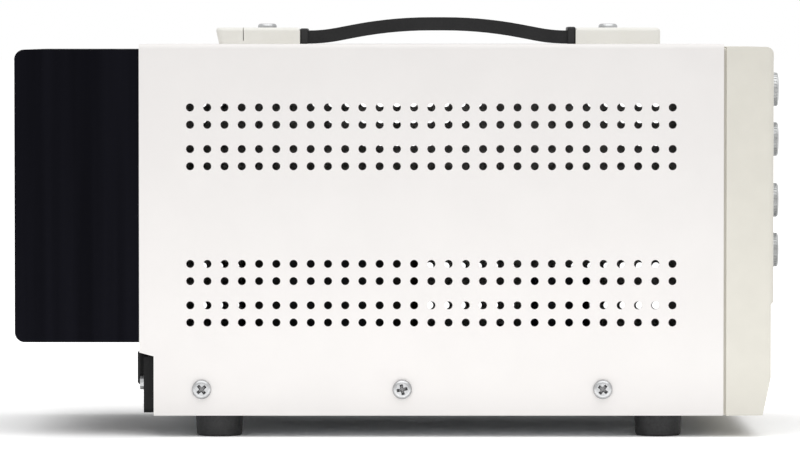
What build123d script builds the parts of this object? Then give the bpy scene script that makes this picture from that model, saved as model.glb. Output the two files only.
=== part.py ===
from build123d import *
from math import atan2, degrees
import os

os.makedirs("parts", exist_ok=True)

# Single-output bench power supply. X runs to the operator's right, the front
# faces -Y and Z is up from the bench, so Z = 0 lies under the feet.
# All sizes are in millimetres.

# Case: a folded cover over a folded chassis
case_width = 128.0
case_height = 145.0  # bench to the top of the cover
cover_front_y = -117.5
cover_length = 215.5
cover_sheet = 1.2
cover_bend = 2.0  # outer radius of the cover's two folds
chassis_sheet = 1.5
chassis_bend = 2.0
chassis_wall = 22.0  # height of the chassis's side walls
chassis_lip = 13.0  # height of its front lip
slack = 0.2  # gap between sheets, boards and mouldings that slide together

# Feet
foot_height = 8.0
foot_top_diameter = 17.7
foot_bottom_diameter = 15.4
foot_edge = 1.4
foot_inset = 12.0  # foot centre to the side of the case
front_foot_setback = 23.6  # foot centre behind the cover's front edge
foot_spacing = 162.7
foot_recess_diameter = 8.0
foot_recess_depth = 4.6
foot_screw_reach = 3.0

# Perforated side walls: each round perforation is drawn six-sided
vent_diameter = 3.0
vent_pitch = 6.35
vent_columns = 29
vent_pair_pitch = 15.3
vent_lower_height = 45.2  # middle of the lower group above the cover's edge
vent_upper_drop = 34.15  # middle of the upper group below the cover's top

# Screws along the cover's lower edge
cover_screw_setback = 44.5
cover_screw_pitch = 74.0
cover_screws_per_side = 3
cover_screw_height = 9.7  # above the cover's lower edge
cover_screw_head_diameter = 7.2
cover_screw_head_height = 1.8
cover_screw_diameter = 3.0
cover_screw_length = 6.0

# Heatsink across the upper rear
sink_base = 5.3
sink_inlet_gap = 4.0  # between the heatsink and the mains inlet below it
sink_gap = 0.4  # to the cover's side walls
sink_top_gap = 0.8
fin_length = 46.0
fin_count = 15
fin_root = 2.6
fin_tip = 1.7
fin_corner = 3.7  # radius on the fins' rear corners
sink_screw_inset = 5.0
sink_screw_diameter = 3.6

# Rear panel
rear_sheet = 1.5
rear_flange = 10.0
rear_ear_height = 23.6  # the cover's rear ears start this far above its edge
rear_ear_slope = 1.7

# Power transistors on the heatsink
transistor_count = 4
transistor_pitch = 26.0
transistor_width = 15.6
transistor_height = 20.0
transistor_depth = 5.0
transistor_hole_drop = 5.0
transistor_leg = 1.2
transistor_leg_length = 12.0
transistor_leg_pitch = 5.45
pad_thickness = 0.4
pad_margin = 1.2

# Moulded front bezel
seam_gap = 1.0  # shadow line between cover and bezel
bezel_depth = 17.5
bezel_drop = 1.0  # bezel top below the cover top
bezel_top_edge = 3.0
bezel_side_edge = 2.5
bezel_step = 1.0
bezel_step_height = 42.0  # above the bezel's lower edge
chin_height = 14.0
chin_setback = 3.0
tongue_depth = 6.0  # part of the bezel inside the cover
tongue_wall = 1.6
bezel_floor = 4.0
bezel_ledge = 1.5
bezel_draft = 2.0  # degrees, on the walls of the recess
boss_width = 8.0
boss_height = 8.0
boss_inset = 14.0
hook_width = 6.0
hook_reach = 1.2
hook_depth = 3.0
hook_spacing = 70.0

# Front panel, set back inside the bezel
panel_recess = 11.0
panel_sheet = 2.0

# Display
display_x = -20.0
window_width = 54.0
window_height = 66.0
window_thickness = 1.5
module_width = 38.0
module_height = 19.0
module_depth = 8.0
display_gap = 0.3
display_board_width = 66.0
display_board_height = 74.0
board_sheet = 1.6
stud_inset = 3.0
stud_diameter = 4.4

# Four control knobs in one column, as two pairs
knob_x = 30.0
upper_pair_drop = 27.15  # below the cover's top
lower_pair_drop = 69.85
knob_pitch = 19.2
knob_diameter = 14.0
knob_nose_diameter = 13.0
knob_length = 17.5
knob_gap = 1.5  # to the front panel
knob_edge = 0.8
knob_hollow_diameter = 12.2
knob_hollow_depth = 4.5
knob_bore_depth = 10.0
shaft_diameter = 6.0
shaft_fit = 0.02
running_gap = 0.05
pot_size = 16.0
pot_depth = 8.0
pot_floor = 1.5
bushing_diameter = 7.0
bushing_length = 5.0
bushing_gap = 0.1
pot_nut_flats = 10.0
pot_nut_height = 2.0

# Push-button mains switch
button_x = -38.0
button_height = 25.0  # above the case's lower edge
button_size = 12.0
button_edge = 1.0
button_gap = 0.3
button_stand = 6.0  # proud of the front panel
button_travel = 3.0
button_flange = 1.5
button_flange_reach = 1.0
button_tail = 2.5
switch_wall = 2.0
switch_back = 4.0

# Indicator lamps
lamp_x = -45.0
lamp_pitch = 18.0
lamp_height = 42.0
lamp_diameter = 3.0
lamp_stand = 1.2
lamp_tail = 5.0
lamp_flange = 0.6

# Output terminals: insulated posts with screw caps and captive clamp washers
terminal_x = 30.0  # middle terminal
terminal_pitch = 19.0
terminal_height = 25.0
post_diameter = 6.0
post_stand = 9.2  # post end in front of the panel
post_tail = 10.0  # post end behind the panel
socket_diameter = 4.0
socket_depth = 12.0
wire_hole = 1.6
collar_diameter = 13.0
collar_height = 3.0
spigot_diameter = 8.0
rear_washer_height = 2.0
clamp_diameter = 10.4
clamp_height = 1.0
clamp_gap = 0.2
cap_diameter = 12.0
cap_length = 5.4
cap_edge = 0.6
cap_gap = 0.1
thread_gap = 0.12
post_nut_flats = 10.0
post_nut_height = 3.2

# Mains inlet with fuse drawer
inlet_x = -30.0
inlet_height = 11.75  # centre above the case's lower edge
inlet_flange_width = 54.0
inlet_flange_height = 22.5
inlet_flange_depth = 4.0
inlet_corner = 2.0
inlet_body_width = 41.0
inlet_body_height = 20.0
inlet_body_depth = 25.0
inlet_body_shift = 1.0
inlet_screw_spacing = 48.0
inlet_screw_diameter = 2.6
inlet_screw_head_diameter = 5.2
inlet_screw_head_height = 1.4
inlet_screw_length = 9.0
socket_width = 24.6
socket_height = 16.6
socket_well = 16.0
socket_chamfer = 4.0
socket_shift = -6.2  # socket centre from the flange centre
blade_spacing = 14.0
blade_offset = 4.0  # earth blade above the other two
blade_width = 2.0
blade_height = 4.0
blade_setback = 4.5  # blade tips inside the mouth
tab_length = 8.0
drawer_shift = 14.3
drawer_rise = 3.4
drawer_face_width = 11.5
drawer_face_height = 13.4
drawer_stand = 3.8
drawer_notch = 1.6
drawer_tray_width = 8.4
drawer_tray_height = 8.4
drawer_tray_length = 23.0
drawer_gap = 0.3
fuse_diameter = 5.2
fuse_length = 20.0
fuse_gap = 0.1

# Transformer
transformer_y = 28.0
core_width = 84.0
core_height = 70.0
core_stack = 44.0
core_leg = 14.0
core_centre_leg = 28.0
bobbin_wall = 1.5
coil_overhang = 12.0
coil_corner = 5.0
strap_sheet = 1.0
strap_foot = 9.0
strap_width = 38.0
strap_screw_spacing = 26.0
strap_screw_diameter = 3.6

# Regulator board
board_front_gap = 12.0  # board edge behind the chassis's front lip
board_length = 86.0
board_width = 100.0
standoff_height = 8.0
standoff_diameter = 6.0
standoff_inset = 5.0
board_screw_diameter = 2.4
capacitor_diameter = 25.0
capacitor_height = 40.0
capacitor_spacing = 34.0
relay_width = 19.0
relay_depth = 15.0
relay_height = 15.5
rectifier_width = 30.0
rectifier_height = 20.0
rectifier_depth = 4.6

# Carrying handle: a sprung strap between two moulded end brackets
handle_setback = 105.0  # handle centre behind the cover's front edge
handle_screw_spacing = 129.4
bracket_length = 32.0
bracket_width = 24.6
bracket_height = 6.2
bracket_screw_inset = 12.6  # screw centre from the bracket's inner end
bracket_corner = 5.0
bracket_edge = 1.0
strap_handle_width = 21.0
strap_handle_thickness = 5.0
strap_edge = 1.2
strap_tail = 18.0  # length of strap inside each bracket
strap_gap = 0.1
strap_rise = 5.0
crown_half_length = 17.0
shoulder_inset = 9.0  # where the strap starts to rise, from the bracket
crown_radius = 150.0
shoulder_radius = 60.0
handle_screw_diameter = 4.0
handle_screw_head_diameter = 7.4
handle_screw_head_height = 1.9
clinch_nut_flats = 8.0
clinch_nut_height = 3.0

# Internal leads
lead_diameter = 2.2
lead_bend = 5.0

# Small fasteners: shanks and threaded holes are drawn six-sided, other small
# rounds with 12 flats, and turned or moulded ones that show with 24
fastener_gap = 0.15
small_sides = 12
turned_sides = 24
hex_head_height = 2.0
hex_head_margin = 1.3

# Levels and faces that several pieces share
case_bottom_z = foot_height
half_width = case_width / 2
inner_half_width = half_width - cover_sheet
inner_top_z = case_height - cover_sheet
cover_rear_y = cover_front_y + cover_length
cover_middle_y = cover_front_y + cover_length / 2
rear_face_y = cover_rear_y - sink_base
rear_inner_y = rear_face_y - rear_sheet
floor_z = case_bottom_z + chassis_sheet
bezel_rear_y = cover_front_y - seam_gap
bezel_front_y = bezel_rear_y - bezel_depth
bezel_top_z = case_height - bezel_drop
tongue_rear_y = bezel_rear_y + tongue_depth
tongue_half_width = inner_half_width - slack
chassis_front_y = tongue_rear_y + slack
panel_front_y = bezel_front_y + panel_recess
panel_back_y = panel_front_y + panel_sheet
pocket_half_width = tongue_half_width - tongue_wall
pocket_bottom_z = case_bottom_z + bezel_floor
pocket_top_z = inner_top_z - slack - tongue_wall


def block(x, y, z, mode=Mode.ADD):
    """A cuboid between two limits along each axis."""
    with Locations(((x[0] + x[1]) / 2, (y[0] + y[1]) / 2, (z[0] + z[1]) / 2)):
        Box(x[1] - x[0], y[1] - y[0], z[1] - z[0], mode=mode)


def bar(centres, y, radius, sides=0, mode=Mode.ADD):
    """Bars along Y at (x, z) centres: round, or with flat sides at that radius."""
    with BuildSketch(Plane.XZ.offset(-y[0])) as section:
        with Locations(*centres):
            if sides:
                RegularPolygon(radius, sides, major_radius=False)
            else:
                Circle(radius)
    extrude(section.sketch, amount=y[0] - y[1], mode=mode)


def post(centres, z, radius, sides=0, mode=Mode.ADD):
    """Upright bars at (x, y) centres: round, or with flat sides at that radius."""
    with BuildSketch(Plane.XY.offset(z[0])) as section:
        with Locations(*centres):
            if sides:
                RegularPolygon(radius, sides, major_radius=False)
            else:
                Circle(radius)
    extrude(section.sketch, amount=z[1] - z[0], mode=mode)


def screw(head_radius, head_height, shank_radius, length, head_sides=0, edge=0.0):
    """One fastener along Z with its head standing on Z = 0."""
    with BuildPart() as fastener:
        post([(0, 0)], (0, head_height), head_radius, head_sides)
        if edge:
            chamfer(fastener.edges().group_by(Axis.Z)[-1], edge)
        with BuildSketch(Plane.XY):
            RegularPolygon(shank_radius, 6)
        extrude(amount=-length)
    return fastener.part


def hole_radius(screw_diameter):
    """Distance from the axis to the flats of a screw's hole."""
    return screw_diameter / 2 + fastener_gap


# Cover: roof and side walls in one folded sheet, open below
vent_lower_z = case_bottom_z + vent_lower_height
vent_upper_z = case_height - vent_upper_drop
cover_screw_ys = [
    cover_front_y + cover_screw_setback + n * cover_screw_pitch
    for n in range(cover_screws_per_side)
]
cover_screw_z = case_bottom_z + cover_screw_height
ear_z = case_bottom_z + rear_ear_height
handle_y = cover_front_y + handle_setback
handle_screw_ys = [handle_y - handle_screw_spacing / 2, handle_y + handle_screw_spacing / 2]
handle_screw_places = [(0, y) for y in handle_screw_ys]

with BuildPart() as top_cover:
    # Roof with the two folds
    with BuildSketch(Plane.XZ.offset(-cover_front_y)):
        with BuildLine():
            FilletPolyline(
                (-half_width, case_height - 2 * cover_bend),
                (-half_width, case_height),
                (half_width, case_height),
                (half_width, case_height - 2 * cover_bend),
                radius=cover_bend,
            )
            offset(amount=-cover_sheet, side=Side.RIGHT)
        make_face()
    extrude(amount=-cover_length)
    # Clinch nuts under the roof for the handle's screws
    nut_zs = (inner_top_z - clinch_nut_height, inner_top_z)
    post(handle_screw_places, nut_zs, clinch_nut_flats / 2, sides=6)
    post(
        handle_screw_places,
        (nut_zs[0], case_height),
        hole_radius(handle_screw_diameter),
        sides=6,
        mode=Mode.SUBTRACT,
    )
    # Both side walls, drawn flat with their perforations. The rear edge steps
    # out to an ear that flanks the heatsink.
    with BuildSketch(Plane.YZ.offset(-half_width), Plane.YZ.offset(inner_half_width)):
        with BuildLine():
            Polyline(
                (cover_front_y, case_bottom_z),
                (cover_front_y, case_height - 2 * cover_bend),
                (cover_rear_y, case_height - 2 * cover_bend),
                (cover_rear_y, ear_z),
                (rear_face_y, ear_z - rear_ear_slope),
                (rear_face_y, case_bottom_z),
                close=True,
            )
        make_face()
        with Locations((cover_middle_y, (vent_lower_z + vent_upper_z) / 2)):
            with GridLocations(vent_pitch, vent_upper_z - vent_lower_z, vent_columns, 2):
                with GridLocations(vent_pair_pitch, vent_pair_pitch, 1, 2):
                    with GridLocations(vent_pitch, vent_pitch, 1, 2):
                        RegularPolygon(vent_diameter / 2, 6, mode=Mode.SUBTRACT)
        with Locations(*[(y, cover_screw_z) for y in cover_screw_ys]):
            RegularPolygon(
                hole_radius(cover_screw_diameter), 6, major_radius=False, mode=Mode.SUBTRACT
            )
    extrude(amount=cover_sheet, clean=False)

top_cover.part.label = "top_cover"
export_step(top_cover.part, "parts/top_cover.step")

# Chassis: a folded tray that everything inside stands on
chassis_half_width = inner_half_width - slack
foot_ys = [
    cover_front_y + front_foot_setback,
    cover_front_y + front_foot_setback + foot_spacing,
]
foot_x = half_width - foot_inset
foot_places = [(x, y) for x in (-foot_x, foot_x) for y in foot_ys]
foot_screw_diameter = cover_screw_diameter
strap_foot_x = core_width / 2 + strap_sheet + strap_foot / 2
strap_screw_places = [
    (x, transformer_y + y)
    for x in (-strap_foot_x, strap_foot_x)
    for y in (-strap_screw_spacing / 2, strap_screw_spacing / 2)
]
board_front_y = chassis_front_y + board_front_gap
board_rear_y = board_front_y + board_length
board_bottom_z = floor_z + standoff_height
board_top_z = board_bottom_z + board_sheet
standoff_places = [
    (x, y)
    for x in (-board_width / 2 + standoff_inset, board_width / 2 - standoff_inset)
    for y in (board_front_y + standoff_inset, board_rear_y - standoff_inset)
]
boss_x = half_width - boss_inset
boss_z = pocket_bottom_z + boss_height / 2
boss_places = [(-boss_x, boss_z), (boss_x, boss_z)]

with BuildPart() as chassis:
    with BuildSketch(Plane.XZ.offset(-chassis_front_y)):
        with BuildLine():
            FilletPolyline(
                (-chassis_half_width, case_bottom_z + chassis_wall),
                (-chassis_half_width, case_bottom_z),
                (chassis_half_width, case_bottom_z),
                (chassis_half_width, case_bottom_z + chassis_wall),
                radius=chassis_bend,
            )
            offset(amount=-chassis_sheet, side=Side.LEFT)
        make_face()
    extrude(amount=chassis_front_y - rear_face_y)
    # The side walls end in front of the rear panel, which stands on the floor
    block(
        (-half_width, half_width),
        (rear_inner_y - slack, rear_face_y),
        (floor_z, case_bottom_z + chassis_wall),
        mode=Mode.SUBTRACT,
    )
    # Front lip, screwed to the bezel
    block(
        (-boss_x - boss_width, boss_x + boss_width),
        (chassis_front_y, chassis_front_y + chassis_sheet),
        (case_bottom_z + chassis_sheet / 2, case_bottom_z + chassis_lip),
    )
    bar(
        boss_places,
        (chassis_front_y, chassis_front_y + chassis_sheet),
        hole_radius(cover_screw_diameter),
        sides=6,
        mode=Mode.SUBTRACT,
    )
    with BuildSketch(Plane.YZ.offset(-half_width)):
        with Locations(*[(y, cover_screw_z) for y in cover_screw_ys]):
            RegularPolygon(hole_radius(cover_screw_diameter), 6, major_radius=False)
    extrude(amount=case_width, mode=Mode.SUBTRACT)
    # Holes in the floor for the feet, the transformer and the board
    for places, diameter in (
        (foot_places, foot_screw_diameter),
        (strap_screw_places, strap_screw_diameter),
        (standoff_places, board_screw_diameter),
    ):
        post(places, (case_bottom_z, floor_z), hole_radius(diameter), sides=6, mode=Mode.SUBTRACT)

chassis.part.label = "chassis"
export_step(chassis.part, "parts/chassis.step")

# Rear panel: stands on the chassis floor and carries heatsink and inlet
sink_half_width = inner_half_width - sink_gap
sink_top_z = inner_top_z - sink_top_gap
inlet_z = case_bottom_z + inlet_height
sink_bottom_z = inlet_z + inlet_flange_height / 2 + sink_inlet_gap
sink_height = sink_top_z - sink_bottom_z
sink_middle_z = (sink_bottom_z + sink_top_z) / 2
sink_screw_places = [
    (x, z)
    for x in (-sink_half_width + sink_screw_inset, sink_half_width - sink_screw_inset)
    for z in (sink_bottom_z + sink_screw_inset, sink_top_z - sink_screw_inset)
]
transistor_xs = [
    (n - (transistor_count - 1) / 2) * transistor_pitch for n in range(transistor_count)
]
pad_width = transistor_width + 2 * pad_margin
pad_height = transistor_height + 2 * pad_margin
inlet_body_x = inlet_x + inlet_body_shift
inlet_screw_places = [
    (inlet_x - inlet_screw_spacing / 2, inlet_z),
    (inlet_x + inlet_screw_spacing / 2, inlet_z),
]

with BuildPart() as rear_panel:
    block(
        (-sink_half_width, sink_half_width),
        (rear_inner_y, rear_face_y),
        (floor_z, inner_top_z - slack),
    )
    fillet(rear_panel.edges().filter_by(Axis.Y).group_by(Axis.Z)[-1], cover_bend)
    block(
        (-sink_half_width + chassis_sheet + slack, sink_half_width - chassis_sheet - slack),
        (rear_inner_y - rear_flange, rear_inner_y),
        (floor_z, floor_z + rear_sheet),
    )
    # One window behind each transistor, so that it lies on the heatsink itself
    with BuildSketch(Plane.XZ.offset(-rear_inner_y)):
        with Locations((0, sink_middle_z)):
            with GridLocations(transistor_pitch, transistor_pitch, transistor_count, 1):
                Rectangle(pad_width + 2 * slack, pad_height + 2 * slack)
    extrude(amount=-rear_sheet, mode=Mode.SUBTRACT)
    bar(
        sink_screw_places,
        (rear_inner_y, rear_face_y),
        hole_radius(sink_screw_diameter),
        sides=6,
        mode=Mode.SUBTRACT,
    )
    # Cut-out and screw holes for the mains inlet
    block(
        (
            inlet_body_x - inlet_body_width / 2 - slack,
            inlet_body_x + inlet_body_width / 2 + slack,
        ),
        (rear_inner_y - rear_flange, rear_face_y),
        (floor_z, inlet_z + inlet_body_height / 2 + slack),
        mode=Mode.SUBTRACT,
    )
    bar(
        inlet_screw_places,
        (rear_inner_y, rear_face_y),
        hole_radius(inlet_screw_diameter),
        sides=6,
        mode=Mode.SUBTRACT,
    )

rear_panel.part.label = "rear_panel"
export_step(rear_panel.part, "parts/rear_panel.step")

# Heatsink: an extrusion of tapered fins on a thick base
fin_pitch = (2 * sink_half_width - fin_root) / (fin_count - 1)
fin_xs = [-sink_half_width + fin_root / 2 + n * fin_pitch for n in range(fin_count)]
fin_end_y = cover_rear_y + fin_length

fin_angle = 90 - degrees(atan2((fin_root - fin_tip) / 2, fin_length))

with BuildPart() as heatsink:
    with BuildSketch(Plane.XY.offset(sink_bottom_z)):
        with Locations((0, (rear_face_y + cover_rear_y) / 2)):
            Rectangle(2 * sink_half_width, sink_base)
        with Locations(*[(x, cover_rear_y) for x in fin_xs]):
            Trapezoid(fin_root, fin_length, fin_angle, align=(Align.CENTER, Align.MIN))
    extrude(amount=sink_height)
    # The whole extrusion is cut to one side outline with rounded rear corners
    with BuildSketch(Plane.YZ.offset(-half_width)):
        with Locations((rear_face_y, sink_bottom_z)):
            Rectangle(sink_base + fin_length, sink_height, align=(Align.MIN, Align.MIN))
        fillet(vertices().group_by(Axis.X)[-1], fin_corner)
    extrude(amount=case_width, mode=Mode.INTERSECT)
    bar(
        sink_screw_places,
        (rear_face_y, cover_rear_y),
        hole_radius(sink_screw_diameter),
        sides=6,
        mode=Mode.SUBTRACT,
    )
    transistor_screw_z = sink_middle_z + transistor_height / 2 - transistor_hole_drop
    transistor_screw_places = [(x, transistor_screw_z) for x in transistor_xs]
    bar(
        transistor_screw_places,
        (rear_face_y, cover_rear_y),
        hole_radius(cover_screw_diameter),
        sides=6,
        mode=Mode.SUBTRACT,
    )

heatsink.part.label = "heatsink"
export_step(heatsink.part, "parts/heatsink.step")

# Screws from inside the rear panel into the heatsink's base
inner_hex_screw = screw(
    sink_screw_diameter / 2 + hex_head_margin,
    hex_head_height,
    sink_screw_diameter / 2,
    rear_sheet + sink_base,
    head_sides=6,
)
with BuildPart() as heatsink_screws:
    with Locations(*[Plane((x, rear_inner_y, z), z_dir=(0, -1, 0)) for x, z in sink_screw_places]):
        add(inner_hex_screw)

heatsink_screws.part.label = "heatsink_screws"
export_step(heatsink_screws.part, "parts/heatsink_screws.step")

# Power transistors, each on an insulating pad on the heatsink's front face
pad_front_y = rear_face_y - pad_thickness
transistor_front_y = pad_front_y - transistor_depth

with BuildPart() as transistor_pads:
    with BuildSketch(Plane.XZ.offset(-pad_front_y)):
        with Locations(*[(x, sink_middle_z) for x in transistor_xs]):
            Rectangle(pad_width, pad_height)
        with Locations(*transistor_screw_places):
            RegularPolygon(
                hole_radius(cover_screw_diameter), 6, major_radius=False, mode=Mode.SUBTRACT
            )
    extrude(amount=-pad_thickness)

transistor_pads.part.label = "transistor_pads"
export_step(transistor_pads.part, "parts/transistor_pads.step")

with BuildPart() as power_transistors:
    with BuildSketch(Plane.XZ.offset(-transistor_front_y)):
        with Locations(*[(x, sink_middle_z) for x in transistor_xs]):
            Rectangle(transistor_width, transistor_height)
    extrude(amount=-transistor_depth)
    # Three legs a transistor, out of its lower end
    leg_z = sink_middle_z - transistor_height / 2 - transistor_leg_length / 2
    with BuildSketch(Plane.XZ.offset(-transistor_front_y - transistor_leg - transistor_leg)):
        with Locations(*[(x, leg_z) for x in transistor_xs]):
            with GridLocations(transistor_leg_pitch, transistor_leg_pitch, 3, 1):
                Rectangle(transistor_leg, transistor_leg_length)
    extrude(amount=transistor_leg)
    bar(
        transistor_screw_places,
        (transistor_front_y, pad_front_y),
        hole_radius(cover_screw_diameter),
        sides=6,
        mode=Mode.SUBTRACT,
    )

power_transistors.part.label = "power_transistors"
export_step(power_transistors.part, "parts/power_transistors.step")

transistor_screw = screw(
    cover_screw_diameter / 2 + hex_head_margin,
    hex_head_height,
    cover_screw_diameter / 2,
    transistor_depth + pad_thickness + sink_base,
    head_sides=6,
)
with BuildPart() as transistor_screws:
    with Locations(
        *[
            Plane((x, transistor_front_y, z), z_dir=(0, -1, 0))
            for x, z in transistor_screw_places
        ]
    ):
        add(transistor_screw)

transistor_screws.part.label = "transistor_screws"
export_step(transistor_screws.part, "parts/transistor_screws.step")

# Mains inlet: a flanged moulding with a recessed socket and a fuse drawer tunnel
flange_rear_y = rear_face_y + inlet_flange_depth
inlet_body_y = rear_face_y - inlet_body_depth
socket_x = inlet_x + socket_shift
well_floor_y = flange_rear_y - socket_well
drawer_x = inlet_x + drawer_shift
drawer_z = inlet_z + drawer_rise
tunnel_end_y = flange_rear_y - drawer_tray_length - slack - drawer_gap
blade_places = [
    (socket_x - blade_spacing / 2, inlet_z),
    (socket_x, inlet_z + blade_offset),
    (socket_x + blade_spacing / 2, inlet_z),
]

with BuildPart() as mains_inlet:
    with BuildSketch(Plane.XZ.offset(-rear_face_y)):
        with Locations((inlet_x, inlet_z)):
            RectangleRounded(inlet_flange_width, inlet_flange_height, inlet_corner)
    extrude(amount=-inlet_flange_depth)
    block(
        (inlet_body_x - inlet_body_width / 2, inlet_body_x + inlet_body_width / 2),
        (inlet_body_y, rear_face_y),
        (inlet_z - inlet_body_height / 2, inlet_z + inlet_body_height / 2),
    )
    # Socket well with two bevelled upper corners
    with BuildSketch(Plane.XZ.offset(-flange_rear_y)):
        with Locations((socket_x, inlet_z)):
            Rectangle(socket_width, socket_height)
        chamfer(vertices().group_by(Axis.Y)[-1], socket_chamfer)
    extrude(amount=socket_well, mode=Mode.SUBTRACT)
    with BuildSketch(Plane.XZ.offset(-well_floor_y)):
        with Locations(*blade_places):
            Rectangle(blade_width, blade_height)
    extrude(amount=well_floor_y - inlet_body_y, mode=Mode.SUBTRACT)
    block(
        (
            drawer_x - drawer_tray_width / 2 - drawer_gap,
            drawer_x + drawer_tray_width / 2 + drawer_gap,
        ),
        (tunnel_end_y, flange_rear_y),
        (
            drawer_z - drawer_tray_height / 2 - drawer_gap,
            drawer_z + drawer_tray_height / 2 + drawer_gap,
        ),
        mode=Mode.SUBTRACT,
    )
    bar(
        inlet_screw_places,
        (rear_face_y, flange_rear_y),
        hole_radius(inlet_screw_diameter),
        sides=6,
        mode=Mode.SUBTRACT,
    )

mains_inlet.part.label = "mains_inlet"
export_step(mains_inlet.part, "parts/mains_inlet.step")

# Three blades: each passes through the floor of the well to a solder tab
blade_tip_y = flange_rear_y - blade_setback
tab_end_y = inlet_body_y - tab_length
with BuildPart() as inlet_pins:
    with BuildSketch(Plane.XZ.offset(-blade_tip_y)):
        with Locations(*blade_places):
            Rectangle(blade_width, blade_height)
    extrude(amount=blade_tip_y - tab_end_y)

inlet_pins.part.label = "inlet_pins"
export_step(inlet_pins.part, "parts/inlet_pins.step")

inlet_screw = screw(
    inlet_screw_head_diameter / 2,
    inlet_screw_head_height,
    inlet_screw_diameter / 2,
    inlet_screw_length,
    head_sides=small_sides,
)
with BuildPart() as inlet_screws:
    with Locations(*[Plane((x, flange_rear_y, z), z_dir=(0, 1, 0)) for x, z in inlet_screw_places]):
        add(inlet_screw)

inlet_screws.part.label = "inlet_screws"
export_step(inlet_screws.part, "parts/inlet_screws.step")

# Fuse drawer: a face block with a finger notch and a tray that holds the fuse
drawer_face_y = flange_rear_y + slack
drawer_end_y = drawer_face_y + drawer_stand
tray_end_y = drawer_face_y - drawer_tray_length
fuse_end_y = tray_end_y + fuse_gap + (drawer_tray_length - fuse_length) / 2
fuse_z = drawer_z + drawer_tray_height / 2 - fuse_diameter / 2 - fuse_gap

with BuildPart() as fuse_drawer:
    block(
        (drawer_x - drawer_face_width / 2, drawer_x + drawer_face_width / 2),
        (drawer_face_y, drawer_end_y),
        (drawer_z - drawer_face_height / 2, drawer_z + drawer_face_height / 2),
    )
    chamfer(fuse_drawer.faces().sort_by(Axis.Y)[-1].edges(), button_edge)
    block(
        (drawer_x - drawer_tray_width / 2, drawer_x + drawer_tray_width / 2),
        (tray_end_y, drawer_face_y),
        (drawer_z - drawer_tray_height / 2, drawer_z + drawer_tray_height / 2),
    )
    # Trough for the fuse, open upwards
    block(
        (
            drawer_x - fuse_diameter / 2 - fuse_gap,
            drawer_x + fuse_diameter / 2 + fuse_gap,
        ),
        (fuse_end_y - fuse_gap, fuse_end_y + fuse_length + fuse_gap),
        (fuse_z - fuse_diameter / 2 - fuse_gap, drawer_z + drawer_tray_height / 2),
        mode=Mode.SUBTRACT,
    )
    # Finger notch across the lower edge of the face
    block(
        (drawer_x - drawer_face_width / 4, drawer_x + drawer_face_width / 4),
        (drawer_face_y, drawer_face_y + drawer_stand / 2),
        (
            drawer_z - drawer_face_height / 2,
            drawer_z - drawer_face_height / 2 + drawer_notch,
        ),
        mode=Mode.SUBTRACT,
    )

fuse_drawer.part.label = "fuse_drawer"
export_step(fuse_drawer.part, "parts/fuse_drawer.step")

with BuildPart() as fuse:
    bar([(drawer_x, fuse_z)], (fuse_end_y, fuse_end_y + fuse_length), fuse_diameter / 2)

fuse.part.label = "fuse"
export_step(fuse.part, "parts/fuse.step")

# Transformer: laminated core with two windows, coil former, winding and strap
core_bottom_z = floor_z
core_top_z = core_bottom_z + core_height
core_middle_z = core_bottom_z + core_height / 2
core_ys = (transformer_y - core_stack / 2, transformer_y + core_stack / 2)
window_x = core_width / 2 - core_leg
window_zs = (core_bottom_z + core_leg, core_top_z - core_leg)
leg_x = core_centre_leg / 2

with BuildPart() as transformer_core:
    block((-core_width / 2, core_width / 2), core_ys, (core_bottom_z, core_top_z))
    block((leg_x, window_x), core_ys, window_zs, mode=Mode.SUBTRACT)
    block((-window_x, -leg_x), core_ys, window_zs, mode=Mode.SUBTRACT)

transformer_core.part.label = "transformer_core"
export_step(transformer_core.part, "parts/transformer_core.step")

# The coil former is a spool round the centre leg
spool_half_width = leg_x + bobbin_wall
spool_half_depth = core_stack / 2 + bobbin_wall
coil_half_width = window_x - slack
coil_half_depth = core_stack / 2 + coil_overhang

with BuildPart() as transformer_bobbin:
    for z in (window_zs[0], window_zs[1] - bobbin_wall):
        block(
            (-coil_half_width, coil_half_width),
            (transformer_y - coil_half_depth, transformer_y + coil_half_depth),
            (z, z + bobbin_wall),
        )
    block(
        (-spool_half_width, spool_half_width),
        (transformer_y - spool_half_depth, transformer_y + spool_half_depth),
        window_zs,
    )
    block((-leg_x, leg_x), core_ys, window_zs, mode=Mode.SUBTRACT)

transformer_bobbin.part.label = "transformer_bobbin"
export_step(transformer_bobbin.part, "parts/transformer_bobbin.step")

with BuildPart() as transformer_winding:
    with BuildSketch(Plane.XY.offset(window_zs[0] + bobbin_wall)):
        with Locations((0, transformer_y)):
            RectangleRounded(
                2 * coil_half_width - bobbin_wall, 2 * coil_half_depth - bobbin_wall, coil_corner
            )
            Rectangle(2 * spool_half_width, 2 * spool_half_depth, mode=Mode.SUBTRACT)
    extrude(amount=window_zs[1] - window_zs[0] - 2 * bobbin_wall)

transformer_winding.part.label = "transformer_winding"
export_step(transformer_winding.part, "parts/transformer_winding.step")

# Steel strap over the core, with a foot on each side
strap_x = core_width / 2
with BuildPart() as transformer_strap:
    with BuildSketch(Plane.XZ.offset(strap_width / 2 - transformer_y)):
        with BuildLine():
            Polyline(
                (-strap_x - strap_foot, floor_z),
                (-strap_x, floor_z),
                (-strap_x, core_top_z),
                (strap_x, core_top_z),
                (strap_x, floor_z),
                (strap_x + strap_foot, floor_z),
            )
            offset(amount=strap_sheet, side=Side.LEFT)
        make_face()
    extrude(amount=-strap_width)
    post(
        strap_screw_places,
        (floor_z, floor_z + strap_sheet),
        hole_radius(strap_screw_diameter),
        sides=6,
        mode=Mode.SUBTRACT,
    )

transformer_strap.part.label = "transformer_strap"
export_step(transformer_strap.part, "parts/transformer_strap.step")

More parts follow.
